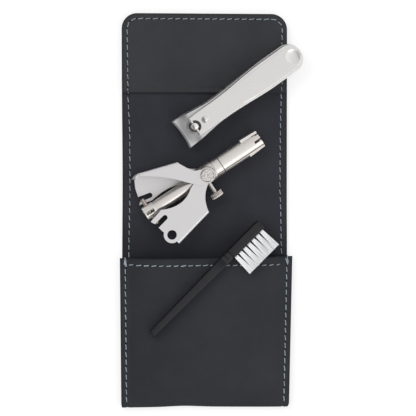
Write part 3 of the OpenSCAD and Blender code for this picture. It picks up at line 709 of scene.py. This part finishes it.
def clipper_point(s, v, h):
    """A point of the clipper: along from the cutting edge, aside, up."""
    return in_frame(clipper_at, clipper_turn, s, v, h)


def lever_point(x, y, z):
    """A point of the lever, whose own frame starts at the cross pin."""
    c, n = math.cos(lever_slope), math.sin(lever_slope)
    return clipper_point(post_s + x * c + z * n, y, pin_z - x * n + z * c)


def over(line, s):
    """Height of a bent line with its corners eased, the less the nearer to the jaw."""
    reach = min(0.5, 0.08 + 0.1 * s)
    return float(np.mean([np.interp(s + k * reach, *zip(*line)) for k in (-1, -0.5, 0, 0.5, 1)]))


def arm_half(s):
    """Half the width of the arms: broad at the jaw and the rear, with a waist between."""
    if s < waist_s:
        return jaw_half + (arm_waist - jaw_half) * eased(s / waist_s)
    return arm_waist + (arm_rear - arm_waist) * eased((s - waist_s) / (broad_s - waist_s))


def lever_half(x):
    """Half the width of the lever, which widens from its fork to its thumb rest."""
    if x < 12:
        return fork_half + (lever_waist - fork_half) * eased(x / 5)
    return lever_waist + (lever_rear - lever_waist) * eased((x - 12) / 26)


def bar_mesh(name, start, length, end_r, half, shape, middle=36):
    """A flat bar with a round end as a fine grid. shape gives the upper and the lower
    face's point for (along, aside, distance to the outline)."""
    stations = [start + d for d in metal_steps]
    stations += rows_between(stations[-1], length - metal_steps[-1], lengthwise)
    stations += [length - d for d in reversed(metal_steps[1:-1])]
    stations += [length - last_in]
    face, back = [], []
    middle_s = length - end_r
    for s in stations:
        tall = half(s)
        if s > middle_s:
            tall *= math.sqrt(max(0.0, 1 - ((s - middle_s) / end_r) ** 2))
        squeeze = min(1.0, tall / (metal_steps[-1] + 0.6))
        steps = [d * squeeze for d in metal_steps]
        for v in across(-tall, tall, middle, steps):
            d = min(tall - abs(v), s - start)
            if s > middle_s:
                d = end_r * (1 - math.hypot((s - middle_s) / end_r, v / half(middle_s)))
            upper, lower = shape(s, v, max(0.0, d))
            face.append(upper)
            back.append(lower)
    return closed_sheet(name, face, back, len(face) // len(stations))


def modify(thing, name, kind, **settings):
    modifier = thing.modifiers.new(name, kind)
    for key, value in settings.items():
        setattr(modifier, key, value)


def cut_out(thing, *tools, added=()):
    """Takes the tools' volume out of a solid, after the added ones are joined to it."""
    tools = added + tools
    for tool in tools:
        operation = "UNION" if tool in added else "DIFFERENCE"
        modify(thing, "work", "BOOLEAN", operation=operation, object=tool, solver="EXACT")
    shown = thing.evaluated_get(bpy.context.evaluated_depsgraph_get())
    thing.data = bpy.data.meshes.new_from_object(shown)
    thing.modifiers.clear()
    for tool in tools:
        bpy.data.objects.remove(tool)
    keep_corners(thing)


def keep_corners(thing, angle=38):
    """Shades a solid smooth, except along the edges that are sharper than the angle."""
    thing.data.polygons.foreach_set("use_smooth", [True] * len(thing.data.polygons))
    thing.data.set_sharp_from_angle(angle=math.radians(angle))


def prism(name, outline, low, high, place):
    """A closed upright body over an outline, each corner put in its place."""
    count = len(outline)
    points = [place(x, y, low) for x, y in outline] + [place(x, y, high) for x, y in outline]
    sides = [(k, (k + 1) % count, count + (k + 1) % count, count + k) for k in range(count)]
    return mesh_object(name, points, sides + [tuple(range(count)), tuple(range(count, 2 * count))], False)


def lofted(name, rings, looped=False):
    """A closed body through rings of points. Looped, its last ring meets its first."""
    count, faces = len(rings[0]), []
    for j in range(len(rings) if looped else len(rings) - 1):
        k = (j + 1) % len(rings)
        for i in range(count):
            n = (i + 1) % count
            faces.append((j * count + i, j * count + n, k * count + n, k * count + i))
    if not looped:
        faces += [tuple(range(count)), tuple(range((len(rings) - 1) * count, len(rings) * count))]
    return mesh_object(name, [point for ring in rings for point in ring], faces)


def circle(x, y, radius, first=0, last=360, count=48):
    """Points round a circle, both ends included unless it is whole."""
    whole = last - first == 360
    turns = np.radians(np.linspace(first, last, count, endpoint=not whole))
    return [(x + radius * math.cos(a), y + radius * math.sin(a)) for a in turns]


def steel(name, colour, roughness, turn=0.0, lines=0.5, stretch=60, fineness=2600):
    """Stainless steel with the fine lines of its last finish, turn radians from +X."""
    material, graph = new_material(name, Metallic=1.0)
    place = graph.place()
    lined = graph.add("ShaderNodeMapping", {"vector_type": "POINT"}, {0: place, "Rotation": (0, 0, -turn)})
    lined = graph.vector("MULTIPLY", lined, (stretch, fineness, fineness))
    fine, haze = graph.noise(lined, 1.0, 3, 0.6), graph.noise(place, 70, 3)
    tone = lines * fine + (1 - lines) * haze
    graph.paint(
        Base_Color=graph.mixed(tone, tuple(c * 0.93 for c in colour), colour),
        Roughness=roughness - 0.03 + 0.06 * haze, Normal=graph.bump(0.12 * lines, 0.00003, fine),
    )
    return material, graph


def machined(part, material, edge=0.15, segments=2):
    """Gives a CAD piece or a bent sheet whole faces, broken edges and its finish."""
    part.data.materials.clear()
    part.data.materials.append(material)
    part.data.polygons.foreach_set("use_smooth", [True] * len(part.data.polygons))
    modify(part, "joined corners", "WELD", merge_threshold=0.001 * MM)
    modify(part, "whole faces", "DECIMATE", decimate_type="DISSOLVE", angle_limit=math.radians(0.6))
    modify(
        part, "broken edges", "BEVEL", width=edge * MM, segments=segments, limit_method="ANGLE",
        angle_limit=math.radians(28),
    )
    modify(part, "even shading", "WEIGHTED_NORMAL", weight=100)


def darken_dirt_and_shade(graph, share):
    """Darkens a steel's colour by a share: for dark joints and rough marks, and as painted shade in bores,
    gaps and grooves.
    """
    colour = Wire(graph, graph.tree.nodes["Principled BSDF"].inputs["Base Color"].links[0].from_socket)
    graph.paint(Base_Color=graph.mixed(share, colour, (0.10, 0.085, 0.075)))


arm_steel, graph = steel("arm_steel", (0.60, 0.595, 0.60), 0.3, clipper_turn, 0.4)
# Only the wall of the bore round the post is darkened: painted shade deep in the bore.
flat = graph.vector("MULTIPLY", graph.place(), (1000, 1000, 0))
from_post = graph.vector("DISTANCE", flat, (*clipper_point(post_s, 0, 0)[:2], 0), "Value")
darken_dirt_and_shade(graph, graph.span(from_post, bore_r - 0.1, bore_r + 0.04, 0.85, 0.0))
post_steel, _ = steel("post_steel", (0.82, 0.80, 0.78), 0.14, clipper_turn, 0.1)
lever_steel, _ = steel("lever_steel", (0.745, 0.73, 0.715), 0.27, clipper_turn, 0.3)


def upper_arm_shape(s, v, d):
    """The upper arm's two faces: hollow cutting edge, bowed jaw and ring round the post."""
    hollow = jaw_hollow * (1 - (v / jaw_half) ** 2) * (1 - eased(s / 4))
    under = over(arm_under_line, s)
    top = over(arm_top_line, s) - jaw_bow * (abs(v) / jaw_half) ** 2.5 * math.sin(math.pi * min(1.0, s / 7))
    top += ring_h * (1 - eased((math.hypot(s - post_s, v) - ring_r) / 0.18))
    fall = rounded(d, 0.22 if s > 1 else 0.06)
    upper, lower = max(top - fall, under), under + min(fall, 0.1)
    return clipper_point(s + hollow, v, upper), clipper_point(s + hollow, v, lower)


upper_arm = bar_mesh("clipper_upper_arm_dressed", 0, clipper_l, arm_end_r, arm_half, upper_arm_shape)
cut_out(upper_arm, prism("bore", circle(post_s, 0, bore_r), 0, 12, clipper_point))
upper_arm.data.materials.append(arm_steel)
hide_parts("clipper_upper_arm")
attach(upper_arm, "clipper_arm")
machined(nodes["clipper_lower_arm"], arm_steel, 0.4, 3)


def lever_shape(x, y, d):
    """The lever's two faces: fulcrum dome, dish with its lip, stepped border, round nose."""
    top = lever_t / 2 + lever_bow * (1 - ((x - 28) / 28) ** 2) - 0.1 * (y / 5) ** 2
    from_dome, from_dish = math.hypot(x - dome_x, y), math.hypot(x - dish_x, y)
    if from_dome < dome_r:
        top += dome_h - dome_ball + math.sqrt(dome_ball**2 - from_dome**2)
        top -= 0.05 * eased((from_dome - dome_r + 0.2) / 0.2)
    if from_dish < dish_r:
        top += dish_ball - dish_deep - math.sqrt(dish_ball**2 - from_dish**2)
    top += 0.05 * bell(from_dish - dish_r - 0.2, 0.25)
    top -= border_deep * eased((x - 18) / 12) * (1 - eased((d - border_w) / 0.14))
    nose = 0.0 if x > 0 else lever_t / 2 - math.sqrt(max(0.0, (lever_t / 2) ** 2 - x**2))
    fall = rounded(d, 0.3)
    side = lever_t / 2 - max(nose, rounded(d, 0.15))
    return lever_point(x, y, max(top - max(fall, nose), -side)), lever_point(x, y, -side)


lever = bar_mesh("clipper_lever_dressed", -lever_t / 2, lever_l, lever_end_r, lever_half, lever_shape)
slot = circle(0, 0, slot_r, -90, 90, 25) + [(-4, slot_r), (-4, -slot_r)]
cut_out(lever, prism("slot", slot, -3, 4, lever_point))
lever.data.materials.append(lever_steel)
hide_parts("clipper_lever")
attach(lever, "clipper_lever")
machined(nodes["clipper_post"], post_steel, 0.08)
machined(nodes["clipper_cross_pin"], post_steel, 0.12)

# Nose-hair trimmer.
# Turned stainless tubes: a housing with its collar, a slotted barrel and the inner cutter
# inside them. Two stampings, bent twice from 0.7 mm sheet, are riveted to the housing by
# their eyes; squeezed together, they turn the cutter by the bar through its yoke.
trimmer_at, trimmer_turn = (-0.1, 16.0, 8.1), math.radians(33)
wing_t, plate_h, arm_h, bend_r = 0.7, 4.0, -4.75, 0.85
eye_r, boss, boss_r, boss_hole = 3.35, (-26.2, 13.0), 3.5, 2.03
hook_steps, hook_l, hook_in = 6, 2.16, 1.5
slot_root, slot_way, slot_half, slot_l = (-24.7, 5.2), (-0.9766, 0.2154), 1.1, 4.9


def trimmer_point(a, b, h):
    """A point of the trimmer: to the tip, to the thumb screw, up."""
    return in_frame(trimmer_at, trimmer_turn, a, -b, h)


def bowed(first, towards, last, count=10):
    """Points on a smooth curve that is drawn towards its middle point."""
    p, q, r = (np.array(point, float) for point in (first, towards, last))
    return [tuple((1 - u) ** 2 * p + 2 * u * (1 - u) * q + u * u * r) for u in np.linspace(0, 1, count)]


def slot_mouth(side):
    """Outer end of one side of the plate's open slot."""
    x, y = slot_root
    u, v = slot_way
    return (x - side * v * slot_half + slot_l * u, y + side * u * slot_half + slot_l * v)


def sheet_wing(name, with_boss, turned_over):
    """One stamping as a bent sheet: broad plate, bend, finger wall, bend, narrow arm."""
    corner, end = ((-8.0, 14.0), (-25.5, 18.0)) if with_boss else ((-7.9, 11.8), (-23.3, 16.5))
    origin = Vector(corner)
    run = (Vector(end) - origin).normalized()
    inward = Vector((-run.y, run.x))
    mid = math.degrees(math.atan2(-slot_way[1], -slot_way[0]))
    if with_boss:
        tail = circle(*boss, boss_r, 86, 228, 22)
    else:
        tail = [(-26.3, 15.0), (-28.3, 11.0)]
    tail += [(-29.1, 8.0), slot_mouth(-1)] + circle(*slot_root, slot_half, mid + 90, mid - 90, 11)
    tail += [slot_mouth(1), (-30.7, 3.4 if with_boss else 4.1)]
    inner_bow = [(-24.3, 1.6), (-15.5, 6.2)] if with_boss else [(-25.0, 2.9), (-15.5, 4.6)]
    plate = [end] + tail + bowed(*inner_bow, (-8.8, 0.9), 16) + circle(0, 0, eye_r, 219, 471, 40)
    plate += bowed((-1.2, 3.1), (-7.0, 6.4), corner, 14)
    arm = [end] + bowed((-24.3, end[1] - 0.8), (-16.2, 10.6), (-10.6, 4.3), 14)
    arm += bowed((-10.3, 3.95), (-7.2, 0.3), (-4.3, -2.5), 8)
    arm += circle(0, 0, eye_r, 245, 458, 34) + [(-0.5, 3.3), (-3.6, 4.6), (-5.4, 7.2), corner]

    def depth(point):
        return (Vector(point) - origin).dot(inward)

    def crossing(path, q):
        """The first place where a path reaches the depth q, and the path from there on."""
        for k in range(1, len(path)):
            before, after = depth(path[k - 1]), depth(path[k])
            if before <= q < after:
                share = (q - before) / (after - before)
                found = Vector(path[k - 1]).lerp(Vector(path[k]), share)
                return (found - origin).dot(run), [tuple(found)] + path[k:]

    # Both bends as rows of points, with the finger wall between them.
    bend_q = wing_t / 2 + bend_r
    lean = 0.0 if with_boss else 0.9
    bends = [(bend_r * math.sin(t), bend_r * math.cos(t)) for t in np.linspace(0, math.pi / 2, 7)]
    strip = [(lean + bend_q - sine, plate_h - bend_r + cosine, plate) for sine, cosine in bends]
    lower = [(bend_q - cosine, arm_h + bend_r - sine, arm) for sine, cosine in bends]
    points, faces, columns, rows = [], [], 22, len(strip + lower)
    for q, h, path in strip + lower:
        last, _ = crossing(path, q)
        first, _ = crossing(path[::-1], q)
        for r in np.linspace(first, last, columns):
            points.append((*(origin + run * r + inward * q), h))
    for a in range((rows - 1) * columns):
        if (a + 1) % columns:
            faces.append((a, a + 1, a + columns + 1, a + columns))
    # The finger wall of wing A runs on into a short hook.
    if not with_boss:
        before = len(strip) * columns - 1, (len(strip) + 1) * columns - 1
        wall_end = [points[k] for k in before]
        for k in range(1, hook_steps + 1):
            further = run * (hook_l / hook_steps * k) + inward * hook_in * (k / hook_steps) ** 1.5
            here = len(points), len(points) + 1
            points += [(x + further.x, y + further.y, h) for x, y, h in wall_end]
            faces.append((before[0], *here, before[1]))
            before = here
    # The flat plate and the flat arm, each filled up to its bend.
    for path, h, row, q in ((plate, plate_h, 0, bend_q + lean), (arm, arm_h, rows - 1, bend_q)):
        _, rest = crossing(path, q)
        _, rest = crossing(rest[::-1], q)
        loop = [(x, y, h) for x, y in rest[1:-1]]
        seam_row = points[row * columns:(row + 1) * columns]
        loops = [[Vector(point) for point in seam_row + loop[::-1]]]
        if with_boss and path is plate:
            loops.append([Vector((x, y, h)) for x, y in circle(*boss, boss_hole, count=32)])
        base = len(points)
        points += [tuple(point) for ring in loops for point in ring]
        faces += [tuple(base + k for k in three) for three in tessellate_polygon(loops)]
    flip = -1 if turned_over else 1
    points = [trimmer_point(a, flip * b, flip * h) for a, b, h in points]
    wing = mesh_object(name, points, faces, joined=0.002)
    modify(wing, "sheet", "SOLIDIFY", thickness=wing_t * MM, offset=0, use_even_offset=True)
    machined(wing, wing_steel, 0.24, 3)
    return wing


def trimmer_places(graph):
    """Wires for how far a point lies along, aside and up from the pivot, in millimetres."""
    c, n = math.cos(trimmer_turn), math.sin(trimmer_turn)
    place, wires = graph.place(), []
    for way in ((c, n, 0), (n, -c, 0), (0, 0, 1)):
        reach = graph.vector("DOT_PRODUCT", place, way, "Value")
        wires.append(reach * 1000 - sum(p * q for p, q in zip(way, trimmer_at)))
    return wires


turned_steel, graph = steel(
    "turned_steel", (0.84, 0.80, 0.765), 0.36, trimmer_turn + math.pi / 2, 0.3, 200, 3000
)
# Darker lines mark the barrel's joint, the housing's step and the upper slit, and a painted shadow falls
# round the eyes' edge.
a, b, h = trimmer_places(graph)
joint_line = graph.span(abs(a - 7.45), 0.06, 0.22, 0.85, 0.0)
step_line = graph.span(abs(a - 4.05), 0.06, 0.3, 0.45, 0.0)
slit_line = graph.span(abs(b - 2.4), 0.1, 0.28, 0.9, 0.0)
on_top, on_barrel = graph.span(h, 1.0, 1.1), graph.span(a, 4.0, 4.3)
# Painted shadow on the housing round the eye.
eye_shadow = graph.span(a**2 + b**2, 13.0, 16.0, 0.6, 0.0)
darken_dirt_and_shade(graph, joint_line + step_line + slit_line * on_top * on_barrel + eye_shadow)
inner_steel, graph = steel("inner_steel", (0.80, 0.76, 0.73), 0.34, trimmer_turn, 0.3)
# Near the tip the cutter lies in the barrel's shade.
a, b, h = trimmer_places(graph)
darken_dirt_and_shade(graph, graph.span(a, 22.5, 24.0, 0.0, 0.9))
screw_steel, graph = steel("screw_steel", (0.78, 0.73, 0.69), 0.3, trimmer_turn, 0.1)
# Painted shade draws fine grooves round the screw as dark rings, and on its head dark flutes across them, up
# to a plain rim.
a, b, h = trimmer_places(graph)
rings, flutes = (
    graph.span((reach * (2 * math.pi / pitch)).math("SINE"), -0.9, -0.2, 0.75, 0.0)
    for reach, pitch in ((b, 0.62), (a, 0.7))
)
on_head, on_rim = graph.span(b, 8.35, 8.45), graph.span(b, 10.2, 10.3)
darken_dirt_and_shade(graph, (rings + on_head * flutes) * (1 - on_rim))
wing_steel, _ = steel("wing_steel", (0.77, 0.755, 0.76), 0.44, trimmer_turn, 0.5, 1800, 1800)
rivet_steel, graph = steel("rivet_steel", (0.74, 0.70, 0.68), 0.34, trimmer_turn, 1.0, 1500, 1500)
# The rivets' heads are pressed rough, and a line of painted shade runs round the front one's rim.
a, b, h = trimmer_places(graph)
pressed = graph.noise(graph.place(), 1300)
# Painted shade in the gap round the front rivet's head.
rim = graph.span(a**2 + b**2 + 5 * pressed, 8.6, 9.8, 0.0, 0.7)
darken_dirt_and_shade(graph, rim + graph.span(pressed, 0.52, 0.66, 0.0, 0.4))
graph.paint(Normal=graph.bump(1.0, 0.0004, pressed))
# The crank bar's steel is darker and browner than the rest: painted shade, as it lies under the plates.
shaded_crank_steel, _ = steel("shaded_crank_steel", (0.50, 0.43, 0.39), 0.35, trimmer_turn, 0.1)
for node, finish, edge in (
    ("trimmer_inner_cutter", inner_steel, 0.1),
    ("trimmer_housing", turned_steel, 0.1),
    ("trimmer_crank_yoke", turned_steel, 0.1),
    ("trimmer_return_spring", turned_steel, 0.05),
    ("trimmer_crank_bar", shaded_crank_steel, 0.12),
    ("trimmer_thumb_screw", screw_steel, 0.08),
    ("trimmer_front_rivet", rivet_steel, 0.12),
    ("trimmer_back_rivet", rivet_steel, 0.12),
):
    machined(nodes[node], finish, edge)


def barrel_ring(a, radius, slit=0.0):
    """A ring of points round the barrel's axis, with the slit that runs along its side."""
    ring = []
    for turn in np.linspace(0, 2 * math.pi, 144, endpoint=False):
        away = (turn - slit_turn) * radius
        r = radius - slit * math.exp(-((away / slit_w) ** 4))
        ring.append(trimmer_point(a, r * math.sin(turn), r * math.cos(turn)))
    return ring


def block(a0, a1, b0, b1, low, high):
    return prism("block", [(a0, b0), (a1, b0), (a1, b1), (a0, b1)], low, high, trimmer_point)


collar_a, tip_a, barrel_r, barrel_bore, collar_r = 7.4, 27.4, 3.9, 3.0, 3.7
slit_turn, slit_w, slit_deep, tip_round = math.radians(38), 0.2, 0.6, 0.12
rings = [barrel_ring(collar_a, collar_r), barrel_ring(collar_a + 0.2, collar_r)]
rings += [barrel_ring(a, barrel_r) for a in (collar_a + 0.3, 8.0, 8.4)]
rings += [barrel_ring(a, barrel_r, slit_deep) for a in (8.45, 15, 21, tip_a - tip_round)]
rings += [barrel_ring(tip_a, barrel_r - tip_round, 0.5)]
rings += [barrel_ring(a, barrel_bore) for a in (tip_a, collar_a)]
barrel = lofted("barrel_dressed", rings, looped=True)
upper_plate = [(19.4, -3.1), (19.4, -4.4), (tip_a - 0.05, -4.1), (tip_a - 0.05, -3.1)]
lower_plate = [(19.7, 3.1), (tip_a - 0.05, 3.1), (tip_a - 0.05, 3.42), (19.7, 3.95)]
plates = tuple(prism("plate", plate, -2.3, 2.3, trimmer_point) for plate in (upper_plate, lower_plate))
tip_notches = (
    (24.3, 28, -0.8, 0.25, 1.2, 5), (26.0, 28, -3.0, -2.5, 0.6, 5), (24.4, 25.85, -3.15, -2.88, 0.5, 5),
    (24.5, 28, -0.6, 0.6, -5, -1.2), (25.6, 28, -2.9, -2.1, -5, -0.6),
)
cut_out(barrel, *(block(*notch) for notch in tip_notches), added=plates)
barrel.data.materials.append(turned_steel)
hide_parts("trimmer_barrel")
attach(barrel, "trimmer")
wing_a = sheet_wing("wing_a_dressed", False, True)
wing_b = sheet_wing("wing_b_dressed", True, False)
for wing, body in ((wing_a, "wing_a"), (wing_b, "wing_b")):
    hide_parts("trimmer_" + body)
    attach(wing, body)

# Cleaning brush.
# A moulded black handle with a collar, a rounded neck and a square head bar with a lip at
# its end, and seven tufts of white nylon bristles stapled into the bar's side.
brush_at, brush_turn = (-23.7, -51.6, 8.05), math.radians(45)
handle_mid = 2.2
handle_sections = [
    (0.00, 0.85, 1.10, 0.45), (0.12, 1.12, 1.38, 0.45), (0.35, 1.30, 1.58, 0.45), (0.70, 1.38, 1.65, 0.45),
    (12, 1.48, 1.68, 0.45), (26, 1.66, 1.70, 0.45), (38, 1.86, 1.72, 0.45), (43.3, 1.92, 1.74, 0.45),
    (43.5, 2.08, 1.86, 0.50), (44.2, 2.10, 1.90, 0.50), (44.4, 1.98, 1.80, 0.50), (44.6, 1.94, 1.76, 0.60),
    (45.2, 2.02, 1.86, 0.80), (45.9, 2.12, 2.00, 0.95), (46.6, 2.12, 2.06, 1.00), (47.2, 1.95, 1.98, 1.00),
    (47.55, 1.72, 1.84, 0.80), (47.7, 1.70, 1.84, 0.50), (47.8, 1.90, 2.08, 0.35), (47.95, 1.98, 2.16, 0.30),
    (48.2, 2.00, 2.20, 0.30), (56, 2.00, 2.20, 0.30), (64.7, 2.00, 2.20, 0.30), (64.8, 1.90, 2.10, 0.30),
    (65.1, 1.90, 2.10, 0.30), (65.2, 2.00, 2.20, 0.30), (65.5, 1.98, 2.18, 0.30), (65.7, 1.88, 2.08, 0.30),
    (65.8, 1.70, 1.90, 0.30),
]


def brush_point(along, aside, height):
    """A point of the brush: from the handle's end, to the tips, up."""
    return in_frame(brush_at, brush_turn, along, -aside, height)


def rounded_ring(along, half_w, half_h, corner):
    """Points round a section of the handle, its corners rounded."""
    ring = []
    for quarter in range(4):
        for step in range(5):
            turn = math.radians(90 * quarter + 22.5 * step)
            side = 1 if quarter in (0, 3) else -1
            up = 1 if quarter in (0, 1) else -1
            ring.append(brush_point(
                along, side * (half_w - corner) + corner * math.cos(turn),
                handle_mid + up * (half_h - corner) + corner * math.sin(turn),
            ))
    return ring


handle = lofted("handle_dressed", [rounded_ring(*section) for section in handle_sections])
keep_corners(handle, 32)
handle_black, graph = new_material("handle_black", Specular_IOR_Level=0.42)
grain, worn = graph.noise(graph.place(), 1500, 3), graph.noise(graph.place(), 120, 4)
graph.paint(
    Base_Color=graph.mixed(worn, (0.005, 0.005, 0.007), (0.010, 0.010, 0.0135)),
    Roughness=0.34 + 0.14 * worn, Normal=graph.bump(0.25, 0.00004, grain),
)
handle.data.materials.append(handle_black)
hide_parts("brush_handle")
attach(handle, "brush")

bristle_white, graph = new_material("bristle_white", Roughness=0.5)
shade = graph.stored("strand_shade")
graph.paint(Base_Color=graph.mixed(shade, (0.93, 0.94, 0.96), (1.0, 1.0, 1.0)))


def bristle_tree():
    """A slightly bowed strand from every root point along its "lean"."""
    graph, roots, length, width, bow = growing_tree(
        "bristles", "Roots", "Tufts", "Strand Length", "Strand Width", "Bow"
    )
    turned = graph.add("FunctionNodeAlignRotationToVector", {"axis": "Z"}, {"Vector": graph.named("lean")})
    spin = graph.chance((0, 0, 0), (0, 0, 6.28), 2)
    turned = graph.add("FunctionNodeRotateRotation", {"rotation_space": "LOCAL"}, {0: turned, 1: spin})
    middle = graph.add("ShaderNodeCombineXYZ", None, {"X": bow, "Z": 0.5 * length})
    tip = graph.add("ShaderNodeCombineXYZ", None, {"Z": length})
    line = graph.add(
        "GeometryNodeCurveQuadraticBezier", None,
        {"Resolution": 3, "Start": (0, 0, 0), "Middle": middle, "End": tip},
    )
    strand = strand_along(graph, line, 4, width)
    size = graph.chance((0.8, 0.8, 0.97), (1.15, 1.15, 1.0), 5)
    tufts = graph.add(
        "GeometryNodeInstanceOnPoints", None,
        {"Points": roots, "Instance": strand, "Rotation": turned, "Scale": size},
    )
    pick = graph.add("FunctionNodeRandomValue", {"data_type": "FLOAT"}, {"Seed": 7}, out=1)
    tufts = graph.add(
        "GeometryNodeStoreNamedAttribute", {"data_type": "FLOAT", "domain": "INSTANCE"},
        {"Geometry": tufts, "Name": "strand_shade", "Value": pick},
    )
    solid = graph.add("GeometryNodeRealizeInstances", None, {0: tufts})
    white = graph.add("GeometryNodeSetMaterial", None, {"Geometry": solid, "Material": bristle_white})
    graph.add("NodeGroupOutput", None, {0: white}, out=None)
    return graph.tree


tuft_count, tuft_pitch, tuft_w, tuft_h, bristle_l, root_in = 7, 2.5, 1.6, 3.0, 9.7, 0.15
tuft_rows, tuft_columns, fan, bristle_w = 14, 9, 0.62, 0.22
brush_l, head_l, head_w, head_h = 65.8, 19.0, 4.0, 4.4
first_tuft = brush_l - head_l + (head_l - (tuft_count - 1) * tuft_pitch) / 2
loose = np.random.default_rng(11)
roots, leans = [], []
for tuft in range(tuft_count):
    for row in range(tuft_rows):
        for column in range(tuft_columns):
            u, w = (row + 0.5) / tuft_rows - 0.5, (column + 0.5) / tuft_columns - 0.5
            x, z = first_tuft + tuft * tuft_pitch + u * tuft_w, head_h / 2 + w * tuft_h
            stray_x, stray_z = loose.normal(0, 0.07, 2)
            start = Vector(brush_point(x, head_w / 2 - root_in, z))
            end = brush_point(x + fan * u * tuft_w + stray_x, head_w / 2 + bristle_l, z + 0.5 * w + stray_z)
            roots.append(tuple(start))
            leans.append(tuple((Vector(end) - start).normalized()))
bristles = grown(
    point_object("bristles", roots, lean=leans), bristle_tree(),
    {"Strand Length": (bristle_l + 0.1) * MM, "Strand Width": bristle_w * MM, "Bow": 0.06 * MM},
)
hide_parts("brush_bristles")
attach(bristles, "brush")
